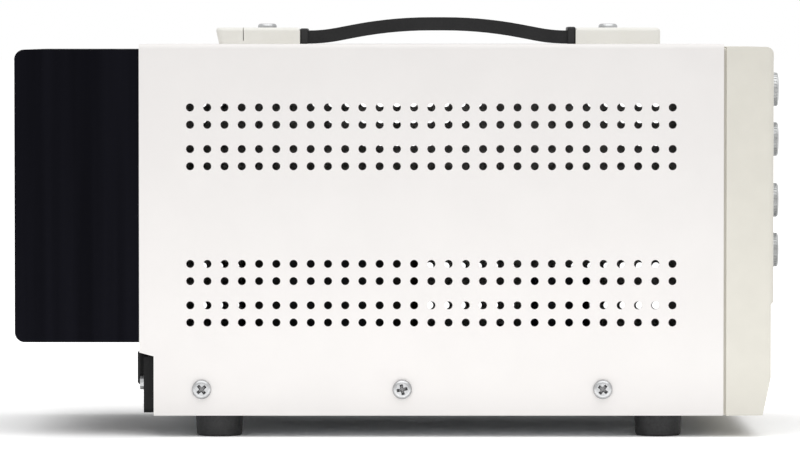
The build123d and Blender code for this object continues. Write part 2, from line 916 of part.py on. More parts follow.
strap_screw = screw(
    strap_screw_diameter / 2 + hex_head_margin,
    hex_head_height,
    strap_screw_diameter / 2,
    strap_sheet + chassis_sheet,
    head_sides=6,
)
with BuildPart() as transformer_screws:
    with Locations(*[(x, y, floor_z + strap_sheet) for x, y in strap_screw_places]):
        add(strap_screw)

transformer_screws.part.label = "transformer_screws"
export_step(transformer_screws.part, "parts/transformer_screws.step")

# Regulator board on four standoffs
board_middle_y = (board_front_y + board_rear_y) / 2

with BuildPart() as board_standoffs:
    post(standoff_places, (floor_z, board_bottom_z), standoff_diameter / 2, sides=6)
    post(
        standoff_places,
        (floor_z, board_bottom_z),
        hole_radius(board_screw_diameter),
        sides=6,
        mode=Mode.SUBTRACT,
    )

board_standoffs.part.label = "board_standoffs"
export_step(board_standoffs.part, "parts/board_standoffs.step")

with BuildPart() as main_board:
    block(
        (-board_width / 2, board_width / 2),
        (board_front_y, board_rear_y),
        (board_bottom_z, board_top_z),
    )
    post(
        standoff_places,
        (board_bottom_z, board_top_z),
        hole_radius(board_screw_diameter),
        sides=6,
        mode=Mode.SUBTRACT,
    )

main_board.part.label = "main_board"
export_step(main_board.part, "parts/main_board.step")

board_screw = screw(
    board_screw_diameter / 2 + hex_head_margin,
    hex_head_height,
    board_screw_diameter / 2,
    board_sheet + standoff_height,
    head_sides=6,
)
with BuildPart() as board_screws:
    with Locations(*[(x, y, board_top_z) for x, y in standoff_places]):
        add(board_screw)

board_screws.part.label = "board_screws"
export_step(board_screws.part, "parts/board_screws.step")

with BuildPart() as filter_capacitors:
    post(
        [
            (-capacitor_spacing / 2, board_middle_y),
            (capacitor_spacing / 2, board_middle_y),
        ],
        (board_top_z, board_top_z + capacitor_height),
        capacitor_diameter / 2,
        turned_sides,
    )

filter_capacitors.part.label = "filter_capacitors"
export_step(filter_capacitors.part, "parts/filter_capacitors.step")

component_gap = capacitor_diameter / 2 + capacitor_spacing / 2 + 2 * slack
with BuildPart() as relays:
    for x in (-component_gap - relay_depth, component_gap):
        block(
            (x, x + relay_depth),
            (board_middle_y - relay_width / 2, board_middle_y + relay_width / 2),
            (board_top_z, board_top_z + relay_height),
        )

relays.part.label = "relays"
export_step(relays.part, "parts/relays.step")

rectifier_front_y = board_middle_y + capacitor_diameter / 2 + rectifier_depth
with BuildPart() as bridge_rectifier:
    block(
        (-rectifier_width / 2, rectifier_width / 2),
        (rectifier_front_y, rectifier_front_y + rectifier_depth),
        (board_top_z, board_top_z + rectifier_height),
    )
    # One bevelled upper corner marks the positive end
    chamfer(
        bridge_rectifier.edges().filter_by(Axis.Y).group_by(Axis.Z)[-1].sort_by(Axis.X)[-1],
        rectifier_depth,
    )

bridge_rectifier.part.label = "bridge_rectifier"
export_step(bridge_rectifier.part, "parts/bridge_rectifier.step")

# Front bezel: a moulded frame with a tongue that slides into the cover
recess_floor_z = pocket_bottom_z + bezel_ledge
recess_top_z = pocket_top_z - bezel_ledge
recess_half_width = pocket_half_width - bezel_ledge
step_z = case_bottom_z + bezel_step_height
chin_z = case_bottom_z + chin_height
knob_row_z = case_height - (upper_pair_drop + lower_pair_drop) / 2

with BuildPart() as front_bezel:
    # Side outline: upright face, a shallow step below the knobs and a chin
    with BuildSketch(Plane.YZ.offset(-half_width)):
        with BuildLine():
            Polyline(
                (bezel_rear_y, case_bottom_z),
                (bezel_rear_y, bezel_top_z),
                (bezel_front_y, bezel_top_z),
                (bezel_front_y, step_z),
                (bezel_front_y + bezel_step, step_z - bezel_step),
                (bezel_front_y + bezel_step, chin_z),
                (bezel_front_y + bezel_step + chin_setback, case_bottom_z),
                close=True,
            )
        make_face()
        fillet(vertices().group_by(Axis.X)[0].sort_by(Axis.Y)[-1], bezel_top_edge)
    extrude(amount=case_width)
    # Plan outline: rounded upright edges
    with BuildSketch(Plane.XY.offset(case_bottom_z)):
        with Locations((0, bezel_rear_y)):
            Rectangle(case_width, bezel_depth, align=(Align.CENTER, Align.MAX))
        fillet(vertices().group_by(Axis.Y)[0], bezel_side_edge)
    extrude(amount=case_height, mode=Mode.INTERSECT)
    # Tongue, rounded to pass under the cover's folds
    with BuildSketch(Plane.XZ.offset(-bezel_rear_y)):
        with Locations((0, case_bottom_z + slack)):
            Rectangle(
                2 * tongue_half_width,
                inner_top_z - case_bottom_z - 2 * slack,
                align=(Align.CENTER, Align.MIN),
            )
        fillet(vertices().group_by(Axis.Y)[-1], cover_bend)
    extrude(amount=-tongue_depth)
    # Recess in front of the panel, narrowing inwards
    with BuildSketch(Plane.XZ.offset(-panel_front_y)):
        with Locations((0, (recess_floor_z + recess_top_z) / 2)):
            Rectangle(2 * recess_half_width, recess_top_z - recess_floor_z)
    extrude(amount=panel_recess, taper=-bezel_draft, mode=Mode.SUBTRACT)
    # Pocket behind it, where the panel seats against a narrow ledge
    block(
        (-pocket_half_width, pocket_half_width),
        (panel_front_y, tongue_rear_y),
        (pocket_bottom_z, pocket_top_z),
        mode=Mode.SUBTRACT,
    )
    # Hooks that hold the panel against the ledge
    for z in (knob_row_z - hook_spacing / 2, knob_row_z + hook_spacing / 2):
        for side in (-1, 1):
            wall_x = side * (pocket_half_width + tongue_wall / 2)
            hook_x = side * (pocket_half_width - hook_reach)
            block(
                (min(wall_x, hook_x), max(wall_x, hook_x)),
                (panel_back_y, panel_back_y + hook_depth),
                (z - hook_width / 2, z + hook_width / 2),
            )
    # Bosses for the screws through the chassis's front lip
    for x in (-boss_x, boss_x):
        block(
            (x - boss_width / 2, x + boss_width / 2),
            (panel_back_y + slack, tongue_rear_y),
            (pocket_bottom_z - bezel_floor / 2, pocket_bottom_z + boss_height),
        )
    bar(
        boss_places,
        (panel_back_y + slack, tongue_rear_y),
        hole_radius(cover_screw_diameter),
        sides=6,
        mode=Mode.SUBTRACT,
    )

front_bezel.part.label = "front_bezel"
export_step(front_bezel.part, "parts/front_bezel.step")

bezel_screw = screw(
    cover_screw_diameter / 2 + hex_head_margin,
    hex_head_height,
    cover_screw_diameter / 2,
    chassis_sheet + slack + boss_width,
    head_sides=6,
)
with BuildPart() as bezel_screws:
    with Locations(
        *[Plane((x, chassis_front_y + chassis_sheet, z), z_dir=(0, 1, 0)) for x, z in boss_places]
    ):
        add(bezel_screw)

bezel_screws.part.label = "bezel_screws"
export_step(bezel_screws.part, "parts/bezel_screws.step")

# Front panel: a plate with every control's hole, and studs for the display
knob_zs = [
    case_height - drop + side * knob_pitch / 2
    for drop in (upper_pair_drop, lower_pair_drop)
    for side in (1, -1)
]
knob_names = ["voltage_coarse", "voltage_fine", "current_coarse", "current_fine"]
button_z = case_bottom_z + button_height
lamp_z = case_bottom_z + lamp_height
lamp_places = [(lamp_x, lamp_z), (lamp_x + lamp_pitch, lamp_z)]
terminal_z = case_bottom_z + terminal_height
terminal_xs = [terminal_x - terminal_pitch, terminal_x, terminal_x + terminal_pitch]
terminal_places = [(x, terminal_z) for x in terminal_xs]
terminal_names = ["negative", "earth", "positive"]
window_back_y = panel_front_y + window_thickness
module_front_y = window_back_y + display_gap
display_board_y = module_front_y + module_depth
stud_places = [
    (x, z)
    for x in (
        display_x - display_board_width / 2 + stud_inset,
        display_x + display_board_width / 2 - stud_inset,
    )
    for z in (
        knob_row_z - display_board_height / 2 + stud_inset,
        knob_row_z + display_board_height / 2 - stud_inset,
    )
]

with BuildPart() as front_panel:
    block(
        (-pocket_half_width + slack, pocket_half_width - slack),
        (panel_front_y, panel_back_y),
        (pocket_bottom_z + slack, pocket_top_z - slack),
    )
    bar(stud_places, (panel_back_y, display_board_y), stud_diameter / 2, sides=6)
    block(
        (display_x - window_width / 2, display_x + window_width / 2),
        (panel_front_y, panel_back_y),
        (knob_row_z - window_height / 2, knob_row_z + window_height / 2),
        mode=Mode.SUBTRACT,
    )
    block(
        (
            button_x - button_size / 2 - button_gap,
            button_x + button_size / 2 + button_gap,
        ),
        (panel_front_y, panel_back_y),
        (
            button_z - button_size / 2 - button_gap,
            button_z + button_size / 2 + button_gap,
        ),
        mode=Mode.SUBTRACT,
    )
    for places, diameter, sides in (
        ([(knob_x, z) for z in knob_zs], bushing_diameter, small_sides),
        (terminal_places, spigot_diameter, 0),
        (lamp_places, lamp_diameter, small_sides),
    ):
        bar(
            places,
            (panel_front_y, panel_back_y),
            diameter / 2 + bushing_gap,
            sides,
            mode=Mode.SUBTRACT,
        )

front_panel.part.label = "front_panel"
export_step(front_panel.part, "parts/front_panel.step")

# Display: tinted window, two digit modules and the board they stand on
with BuildPart() as display_window:
    block(
        (
            display_x - window_width / 2 + bushing_gap,
            display_x + window_width / 2 - bushing_gap,
        ),
        (panel_front_y, window_back_y),
        (
            knob_row_z - window_height / 2 + bushing_gap,
            knob_row_z + window_height / 2 - bushing_gap,
        ),
    )

display_window.part.label = "display_window"
export_step(display_window.part, "parts/display_window.step")

module_zs = [case_height - upper_pair_drop, case_height - lower_pair_drop]
with BuildPart() as display_modules:
    for z in module_zs:
        block(
            (display_x - module_width / 2, display_x + module_width / 2),
            (module_front_y, display_board_y),
            (z - module_height / 2, z + module_height / 2),
        )

display_modules.part.label = "display_modules"
export_step(display_modules.part, "parts/display_modules.step")

with BuildPart() as display_board:
    block(
        (display_x - display_board_width / 2, display_x + display_board_width / 2),
        (display_board_y, display_board_y + board_sheet),
        (knob_row_z - display_board_height / 2, knob_row_z + display_board_height / 2),
    )

display_board.part.label = "display_board"
export_step(display_board.part, "parts/display_board.step")

# Potentiometers: body behind the panel, threaded bushing through it
shaft_radius = shaft_diameter / 2
bushing_front_y = panel_front_y - bushing_length
pot_back_y = panel_back_y + pot_depth
shaft_back_y = pot_back_y - pot_floor - slack

with BuildPart() as potentiometers:
    for z in knob_zs:
        block(
            (knob_x - pot_size / 2, knob_x + pot_size / 2),
            (panel_back_y, pot_back_y),
            (z - pot_size / 2, z + pot_size / 2),
        )
    bar(
        [(knob_x, z) for z in knob_zs],
        (bushing_front_y, panel_back_y),
        bushing_diameter / 2,
        small_sides,
    )
    bar(
        [(knob_x, z) for z in knob_zs],
        (bushing_front_y, pot_back_y - pot_floor),
        shaft_radius + running_gap,
        small_sides,
        mode=Mode.SUBTRACT,
    )

potentiometers.part.label = "potentiometers"
export_step(potentiometers.part, "parts/potentiometers.step")

with BuildPart() as potentiometer_nuts:
    nut_ys = (panel_front_y - pot_nut_height, panel_front_y)
    bar([(knob_x, z) for z in knob_zs], nut_ys, pot_nut_flats / 2, sides=6)
    bar(
        [(knob_x, z) for z in knob_zs],
        nut_ys,
        bushing_diameter / 2 + bushing_gap,
        small_sides,
        mode=Mode.SUBTRACT,
    )

potentiometer_nuts.part.label = "potentiometer_nuts"
export_step(potentiometer_nuts.part, "parts/potentiometer_nuts.step")

# Knobs and their shafts: the hollow back of each knob clears nut and bushing
knob_back_y = panel_front_y - knob_gap
knob_front_y = knob_back_y - knob_length
bore_end_y = knob_back_y - knob_hollow_depth - knob_bore_depth

for name, z in zip(knob_names, knob_zs):
    with BuildPart() as shaft:
        bar([(knob_x, z)], (bore_end_y + slack, shaft_back_y), shaft_radius)
    shaft.part.label = name + "_shaft"
    export_step(shaft.part, f"parts/{name}_shaft.step")

    with BuildPart() as knob:
        # Flats that narrow to the nose, then its bevelled edge
        for reach, radius in (
            (0, knob_diameter / 2),
            (knob_length - knob_edge, knob_nose_diameter / 2),
            (knob_length, knob_nose_diameter / 2 - knob_edge),
        ):
            with BuildSketch(Plane.XZ.offset(reach - knob_back_y)):
                with Locations((knob_x, z)):
                    RegularPolygon(radius, turned_sides, major_radius=False)
        loft(ruled=True)
        for end_y, radius in (
            (knob_back_y - knob_hollow_depth, knob_hollow_diameter / 2),
            (bore_end_y, shaft_radius + shaft_fit),
        ):
            bar([(knob_x, z)], (end_y, knob_back_y), radius, small_sides, mode=Mode.SUBTRACT)
    knob.part.label = name + "_knob"
    export_step(knob.part, f"parts/{name}_knob.step")

# Mains switch: a push-button whose flange is kept behind the panel
button_front_y = panel_front_y - button_stand
flange_front_y = panel_back_y + bushing_gap
button_back_y = flange_front_y + button_flange + button_tail
flange_half = button_size / 2 + button_flange_reach
switch_half = flange_half + button_gap + switch_wall
chamber_end_y = button_back_y + button_travel + slack

with BuildPart() as power_button:
    block(
        (button_x - button_size / 2, button_x + button_size / 2),
        (button_front_y, button_back_y),
        (button_z - button_size / 2, button_z + button_size / 2),
    )
    chamfer(power_button.faces().sort_by(Axis.Y)[0].edges(), button_edge)
    block(
        (button_x - flange_half, button_x + flange_half),
        (flange_front_y, flange_front_y + button_flange),
        (button_z - flange_half, button_z + flange_half),
    )

power_button.part.label = "power_button"
export_step(power_button.part, "parts/power_button.step")

with BuildPart() as power_switch:
    block(
        (button_x - switch_half, button_x + switch_half),
        (panel_back_y, chamber_end_y + switch_back),
        (button_z - switch_half, button_z + switch_half),
    )
    block(
        (button_x - flange_half - button_gap, button_x + flange_half + button_gap),
        (panel_back_y, chamber_end_y),
        (button_z - flange_half - button_gap, button_z + flange_half + button_gap),
        mode=Mode.SUBTRACT,
    )

power_switch.part.label = "power_switch"
export_step(power_switch.part, "parts/power_switch.step")

# Two indicator lamps, each with a flange behind the panel
with BuildPart() as indicator_lamps:
    bar(
        lamp_places,
        (panel_front_y - lamp_stand, panel_back_y + lamp_tail),
        lamp_diameter / 2,
        small_sides,
    )
    bar(
        lamp_places,
        (panel_back_y, panel_back_y + lamp_flange),
        lamp_diameter / 2 + lamp_flange,
        small_sides,
    )

indicator_lamps.part.label = "indicator_lamps"
export_step(indicator_lamps.part, "parts/indicator_lamps.step")

# Terminals: insulating collars in front of the panel and washers behind it
post_front_y = panel_front_y - post_stand
post_back_y = panel_back_y + post_tail
collar_front_y = panel_front_y - collar_height
clamp_back_y = collar_front_y - clamp_gap
clamp_front_y = clamp_back_y - clamp_height
cap_back_y = clamp_front_y - cap_gap
rear_washer_y = panel_back_y + rear_washer_height
collar_hole_radius = post_diameter / 2 + running_gap

with BuildPart() as terminal_insulators:
    bar(terminal_places, (collar_front_y, panel_front_y), collar_diameter / 2, turned_sides)
    bar(
        terminal_places,
        (panel_front_y, panel_back_y - slack),
        spigot_diameter / 2,
        turned_sides,
    )
    bar(terminal_places, (panel_back_y, rear_washer_y), collar_diameter / 2, small_sides)
    bar(
        terminal_places,
        (collar_front_y, rear_washer_y),
        collar_hole_radius,
        small_sides,
        mode=Mode.SUBTRACT,
    )

terminal_insulators.part.label = "terminal_insulators"
export_step(terminal_insulators.part, "parts/terminal_insulators.step")

with BuildPart() as terminal_posts:
    bar(terminal_places, (post_front_y, post_back_y), post_diameter / 2)
    bar(
        terminal_places,
        (post_front_y, post_front_y + socket_depth),
        socket_diameter / 2,
        mode=Mode.SUBTRACT,
    )

terminal_posts.part.label = "terminal_posts"
export_step(terminal_posts.part, "parts/terminal_posts.step")

with BuildPart() as terminal_nuts:
    bar(terminal_places, (rear_washer_y, rear_washer_y + post_nut_height), post_nut_flats / 2, 6)
    bar(
        terminal_places,
        (rear_washer_y, rear_washer_y + post_nut_height),
        collar_hole_radius,
        small_sides,
        mode=Mode.SUBTRACT,
    )

terminal_nuts.part.label = "terminal_nuts"
export_step(terminal_nuts.part, "parts/terminal_nuts.step")

for name, place in zip(terminal_names, terminal_places):
    with BuildPart() as clamp:
        bar([place], (clamp_front_y, clamp_back_y), clamp_diameter / 2, turned_sides)
        bar(
            [place],
            (clamp_front_y, clamp_back_y),
            post_diameter / 2 + thread_gap,
            mode=Mode.SUBTRACT,
        )
    clamp.part.label = name + "_clamp"
    export_step(clamp.part, f"parts/{name}_clamp.step")

    with BuildPart() as cap:
        bar([place], (cap_back_y - cap_length, cap_back_y), cap_diameter / 2, turned_sides)
        chamfer(cap.edges().group_by(Axis.Y)[0], cap_edge)
        bar(
            [place],
            (cap_back_y - cap_length, cap_back_y),
            post_diameter / 2 + thread_gap,
            mode=Mode.SUBTRACT,
        )
    cap.part.label = name + "_cap"
    export_step(cap.part, f"parts/{name}_cap.step")

# Feet: tapered rubber buttons with a recess for the screw's head
with BuildPart() as feet:
    for x, y in foot_places:
        for height, radius in (
            (0, foot_bottom_diameter / 2 - foot_edge),
            (foot_edge, foot_bottom_diameter / 2),
            (foot_height, foot_top_diameter / 2),
        ):
            with BuildSketch(Plane.XY.offset(height)):
                with Locations((x, y)):
                    RegularPolygon(radius, turned_sides, major_radius=False)
        loft(ruled=True)
    post(
        foot_places,
        (0, foot_recess_depth),
        foot_recess_diameter / 2,
        small_sides,
        mode=Mode.SUBTRACT,
    )
    post(
        foot_places,
        (0, foot_height),
        hole_radius(foot_screw_diameter),
        sides=6,
        mode=Mode.SUBTRACT,
    )

feet.part.label = "feet"
export_step(feet.part, "parts/feet.step")

foot_screw = screw(
    foot_screw_diameter / 2 + hex_head_margin,
    hex_head_height,
    foot_screw_diameter / 2,
    foot_height - foot_recess_depth + foot_screw_reach,
    head_sides=small_sides,
)
with BuildPart() as foot_screws:
    with Locations(*[Plane((x, y, foot_recess_depth), z_dir=(0, 0, -1)) for x, y in foot_places]):
        add(foot_screw)

foot_screws.part.label = "foot_screws"
export_step(foot_screws.part, "parts/foot_screws.step")

# Screws along the cover's lower edge, through cover and chassis wall
cover_screw = screw(
    cover_screw_head_diameter / 2,
    cover_screw_head_height,
    cover_screw_diameter / 2,
    cover_screw_length,
    head_sides=small_sides,
    edge=cover_screw_head_height / 3,
)
with BuildPart() as cover_screws:
    with Locations(
        *[
            Plane((side * half_width, y, cover_screw_z), z_dir=(side, 0, 0))
            for side in (-1, 1)
            for y in cover_screw_ys
        ]
    ):
        add(cover_screw)

cover_screws.part.label = "cover_screws"
export_step(cover_screws.part, "parts/cover_screws.step")

# Handle: a sprung strap that bows up between its two end brackets
bracket_inner = handle_screw_spacing / 2 - bracket_screw_inset
strap_end = bracket_inner + strap_tail
shoulder = bracket_inner - shoulder_inset
strap_low_z = case_height + strap_gap
strap_high_z = strap_low_z + strap_rise
slot_half_width = strap_handle_width / 2 + strap_gap
slot_height = strap_handle_thickness + 2 * strap_gap

with BuildPart() as handle_strap:
    with BuildSketch(Plane.YZ.offset(-strap_handle_width / 2)):
        with BuildLine():
            FilletPolyline(
                (handle_y - strap_end, strap_low_z),
                (handle_y - shoulder, strap_low_z),
                (handle_y - crown_half_length, strap_high_z),
                (handle_y + crown_half_length, strap_high_z),
                (handle_y + shoulder, strap_low_z),
                (handle_y + strap_end, strap_low_z),
                radius=[shoulder_radius, crown_radius, crown_radius, shoulder_radius],
            )
            offset(amount=strap_handle_thickness, side=Side.LEFT)
        make_face()
    extrude(amount=strap_handle_width)
    post(
        handle_screw_places,
        (case_height, case_height + bracket_height),
        hole_radius(handle_screw_diameter),
        sides=6,
        mode=Mode.SUBTRACT,
    )

handle_strap.part.label = "handle_strap"
export_step(handle_strap.part, "parts/handle_strap.step")

for name, side in (("handle_front_bracket", -1), ("handle_rear_bracket", 1)):
    inner_y = handle_y + side * bracket_inner
    outer_y = inner_y + side * bracket_length
    slot_end_y = inner_y + side * (strap_tail + strap_gap)
    with BuildPart() as bracket:
        with BuildSketch(Plane.XY.offset(case_height)):
            with Locations((0, (inner_y + outer_y) / 2)):
                Rectangle(bracket_width, bracket_length)
            fillet(vertices().sort_by(Axis.Y, reverse=side > 0)[:2], bracket_corner)
        extrude(amount=bracket_height)
        chamfer(bracket.edges().group_by(Axis.Z)[-1], bracket_edge)
        block(
            (-slot_half_width, slot_half_width),
            (min(inner_y, slot_end_y), max(inner_y, slot_end_y)),
            (case_height, case_height + slot_height),
            mode=Mode.SUBTRACT,
        )
        post(
            handle_screw_places,
            (case_height, case_height + bracket_height),
            hole_radius(handle_screw_diameter),
            sides=6,
            mode=Mode.SUBTRACT,
        )
    bracket.part.label = name
    export_step(bracket.part, f"parts/{name}.step")

handle_screw = screw(
    handle_screw_head_diameter / 2,
    handle_screw_head_height,
    handle_screw_diameter / 2,
    bracket_height + cover_sheet + clinch_nut_height,
    head_sides=turned_sides,
    edge=handle_screw_head_height / 3,
)
with BuildPart() as handle_screws:
    with Locations(*[(x, y, case_height + bracket_height) for x, y in handle_screw_places]):
        add(handle_screw)

handle_screws.part.label = "handle_screws"
export_step(handle_screws.part, "parts/handle_screws.step")


def lead(points, radii):
    """One insulated lead along a path of straight runs and arcs, drawn six-sided."""
    with BuildPart() as wire:
        with BuildLine() as route:
            FilletPolyline(*points, radius=radii)
        with BuildSketch(Plane(route.wire() @ 0, z_dir=route.wire() % 0)):
            RegularPolygon(lead_diameter / 2, 6)
        sweep(path=route.wire())
    return wire.part


# Mains leads: from the inlet's tabs along the left wall to the switch
duct_x = -board_width / 2 - 2 * lead_diameter
duct_rear_y = core_ys[1] - lead_bend
switch_back_y = chamber_end_y + switch_back
tab_bend_y = tab_end_y - lead_bend
upper_z = floor_z + 3 * lead_diameter
lower_z = floor_z + lead_diameter
outer_tab_x = socket_x - blade_spacing / 2
inner_tab_x = socket_x + blade_spacing / 2
upper_rise_y = board_front_y + 2 * lead_diameter
upper_switch_z = button_z + lead_diameter
lower_switch_z = button_z - lead_diameter
mains_routes = [
    lead(
        [
            (outer_tab_x, tab_end_y, inlet_z),
            (outer_tab_x, tab_bend_y, inlet_z),
            (duct_x, duct_rear_y, upper_z),
            (duct_x, upper_rise_y, upper_z),
            (duct_x, upper_rise_y, upper_switch_z),
            (button_x, upper_rise_y, upper_switch_z),
            (button_x, switch_back_y, upper_switch_z),
        ],
        [lead_bend, lead_bend, lead_bend, lead_bend, lead_bend],
    ),
    lead(
        [
            (inner_tab_x, tab_end_y, inlet_z),
            (inner_tab_x, tab_bend_y, inlet_z),
            (outer_tab_x, tab_bend_y, lower_z),
            (duct_x, duct_rear_y, lower_z),
            (duct_x, board_front_y, lower_z),
            (duct_x, board_front_y, lower_switch_z),
            (button_x, board_front_y, lower_switch_z),
            (button_x, switch_back_y, lower_switch_z),
        ],
        [lead_diameter, lead_bend, lead_bend, lead_bend, lead_bend, lead_bend],
    ),
]
# Output leads: from the board up to the back of each post
output_routes = [
    lead(
        [
            (x, board_front_y + lead_bend, board_top_z),
            (x, board_front_y + lead_bend, terminal_z),
            (x, post_back_y, terminal_z),
        ],
        [lead_bend],
    )
    for x in terminal_xs
]
with BuildPart() as internal_leads:
    add(mains_routes)
    add(output_routes)

internal_leads.part.label = "internal_leads"
export_step(internal_leads.part, "parts/internal_leads.step")
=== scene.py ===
import math

import bmesh
import bpy
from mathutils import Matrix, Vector


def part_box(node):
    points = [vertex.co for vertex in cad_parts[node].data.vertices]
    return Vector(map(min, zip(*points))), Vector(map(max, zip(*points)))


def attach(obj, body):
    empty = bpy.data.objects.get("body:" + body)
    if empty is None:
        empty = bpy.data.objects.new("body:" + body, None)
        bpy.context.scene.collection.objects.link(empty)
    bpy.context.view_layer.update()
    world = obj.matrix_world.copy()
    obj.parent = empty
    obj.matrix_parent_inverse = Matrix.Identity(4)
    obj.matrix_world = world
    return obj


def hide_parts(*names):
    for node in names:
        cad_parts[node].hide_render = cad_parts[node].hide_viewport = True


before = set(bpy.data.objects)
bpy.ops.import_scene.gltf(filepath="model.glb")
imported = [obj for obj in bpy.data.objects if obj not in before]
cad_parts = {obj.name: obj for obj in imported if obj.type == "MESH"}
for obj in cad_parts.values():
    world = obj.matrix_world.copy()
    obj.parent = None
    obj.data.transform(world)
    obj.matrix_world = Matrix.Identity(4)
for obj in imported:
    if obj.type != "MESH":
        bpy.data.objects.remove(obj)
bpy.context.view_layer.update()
MM = 0.001


# Cover. One folded sheet of steel makes the roof and both side walls. It is
# punched with two bands of round holes, then stoved with a warm pale grey
# enamel, and six screws along its lower edge hold it to the chassis.
COVER_SHEET = 1.2 * MM
COVER_FOLD = 2.0 * MM
VENT_RADIUS = 1.5 * MM
VENT_PITCH = 6.35 * MM
VENT_COLUMNS = 29
VENT_PAIR_PITCH = 15.3 * MM
VENT_GROUP_PITCH = 57.65 * MM
VENT_LOWEST_Z = 42.375 * MM
VENT_SIDES = 20
EAR_STEP_Y = 92.7 * MM
EAR_Z = 31.6 * MM
EAR_SLOPE = 1.7 * MM
CUT_REACH = 70.0 * MM  # how far the cutters reach out on either side, past both walls
NEAR = 0.1 * MM  # how near to a limit counts as on it
MOSTLY = 0.9  # how much of a direction lies along an axis, to count as along it
FULLY = 0.99  # the same, for flat faces beside rounded ones


def linear(colour):
    """The linear values that a shader takes for a colour written as #rrggbb."""
    channels = [int(colour[n : n + 2], 16) / 255 for n in (1, 3, 5)]
    return [c / 12.92 if c < 0.0405 else ((c + 0.055) / 1.055) ** 2.4 for c in channels] + [1.0]


def add_node(tree, kind, settings=None, links=None):
    """Adds a shader node, sets its values and joins its inputs to other outputs."""
    node = tree.nodes.new("ShaderNode" + kind)
    for key, value in (settings or {}).items():
        if isinstance(key, str) and hasattr(node, key):
            setattr(node, key, value)
        else:
            node.inputs[key].default_value = value
    for key, output in (links or {}).items():
        tree.links.new(output, node.inputs[key])
    return node


def start_material(name, colour, roughness, metallic=0.0, ior=1.5):
    """A named material with its plain values set, as (material, tree, shader)."""
    material = bpy.data.materials.new(name)
    material.use_nodes = True
    tree = material.node_tree
    shader = tree.nodes["Principled BSDF"]
    shader.inputs["Base Color"].default_value = linear(colour)
    shader.inputs["Roughness"].default_value = roughness
    shader.inputs["Metallic"].default_value = metallic
    shader.inputs["IOR"].default_value = ior
    return material, tree, shader


def add_texture(tree, shader, grain, depth, tones=None, rough=None, stretch=(1, 1, 1), detail=3):
    """Gives a surface its grain: a relief of that size and depth, and with it a
    drift between two tones, some 17 grains wide, and between two roughness values."""
    place = add_node(tree, "TexCoord")
    spread = add_node(tree, "Mapping", {"Scale": stretch}, {"Vector": place.outputs["Object"]})
    noise = add_node(
        tree, "TexNoise", {"Scale": 1 / grain, "Detail": detail}, {"Vector": spread.outputs[0]}
    )
    relief = add_node(
        tree, "Bump", {"Distance": depth, "Strength": 1.0}, {"Height": noise.outputs[0]}
    )
    tree.links.new(relief.outputs[0], shader.inputs["Normal"])
    if tones:
        drift = add_node(
            tree, "TexNoise", {"Scale": 0.06 / grain, "Detail": 4}, {"Vector": spread.outputs[0]}
        )
        share = add_node(
            tree, "MapRange", {"From Min": 0.35, "From Max": 0.65}, {"Value": drift.outputs[0]}
        )
        blend = add_node(
            tree,
            "Mix",
            {"data_type": "RGBA", 6: linear(tones[0]), 7: linear(tones[1])},
            {0: share.outputs[0]},
        )
        tree.links.new(blend.outputs[2], shader.inputs["Base Color"])
    if rough:
        spots = add_node(
            tree,
            "MapRange",
            {"From Min": 0.3, "From Max": 0.7, "To Min": rough[0], "To Max": rough[1]},
            {"Value": noise.outputs[0]},
        )
        tree.links.new(spots.outputs[0], shader.inputs["Roughness"])


def select_only(*pieces):
    """Deselects everything, then selects these pieces and makes the first active."""
    bpy.ops.object.select_all(action="DESELECT")
    for piece in pieces:
        piece.select_set(True)
    bpy.context.view_layer.objects.active = pieces[0]


def add_block(name, x, y, z):
    """A cuboid between two limits along each axis."""
    bpy.ops.object.select_all(action="DESELECT")
    bpy.ops.mesh.primitive_cube_add(
        size=1,
        location=[(a + b) / 2 for a, b in (x, y, z)],
        scale=[b - a for a, b in (x, y, z)],
    )
    bpy.ops.object.transform_apply(location=True, rotation=True, scale=True)
    bpy.context.object.name = name
    return bpy.context.object


def add_rod(name, middle, radius, length, axis, sides):
    """A cylinder about a middle point, along the X, Y or Z axis."""
    bpy.ops.object.select_all(action="DESELECT")
    bpy.ops.mesh.primitive_cylinder_add(
        vertices=sides,
        radius=radius,
        depth=length,
        location=middle,
        rotation={"X": (0, math.pi / 2, 0), "Y": (math.pi / 2, 0, 0), "Z": (0, 0, 0)}[axis],
    )
    bpy.ops.object.transform_apply(location=True, rotation=True, scale=True)
    bpy.context.object.name = name
    return bpy.context.object


def pick(piece, kind, test):
    """In edit mode, selects the edges or faces whose middle and direction pass a
    test. An edge's direction runs along it, and a face's points out of it."""
    bpy.ops.mesh.select_mode(type=kind)
    bpy.ops.mesh.select_all(action="DESELECT")
    form = bmesh.from_edit_mesh(piece.data)
    for part in form.edges if kind == "EDGE" else form.faces:
        middle = sum((corner.co for corner in part.verts), Vector()) / len(part.verts)
        if kind == "EDGE":
            direction = (part.verts[1].co - part.verts[0].co).normalized()
        else:
            direction = part.normal
        part.select_set(test(middle, direction))
    form.select_flush_mode()
    bmesh.update_edit_mesh(piece.data)


def apply_modifier(piece, kind, **settings):
    """Adds a modifier to a piece, sets it and applies it."""
    select_only(piece)
    modifier = piece.modifiers.new(kind.lower(), kind)
    for key, value in settings.items():
        setattr(modifier, key, value)
    bpy.ops.object.modifier_apply(modifier=modifier.name)


def cut(piece, cutter):
    """Cuts one piece's shape out of another, and drops the cutter."""
    apply_modifier(piece, "BOOLEAN", operation="DIFFERENCE", solver="EXACT", object=cutter)
    bpy.data.objects.remove(cutter)


def smooth(piece, degrees=35):
    """Shades a piece smooth up to an angle, with its flat faces kept flat."""
    select_only(piece)
    bpy.ops.object.shade_smooth_by_angle(angle=math.radians(degrees))
    apply_modifier(piece, "WEIGHTED_NORMAL", keep_sharp=True, weight=50)


def fit(piece, body, material, slot, *nodes):
    """Gives a finished piece its material, its body and the solids it stands for."""
    if not piece.data.materials:
        piece.data.materials.append(material)
    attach(piece, body)
    if nodes:
        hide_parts(*nodes)


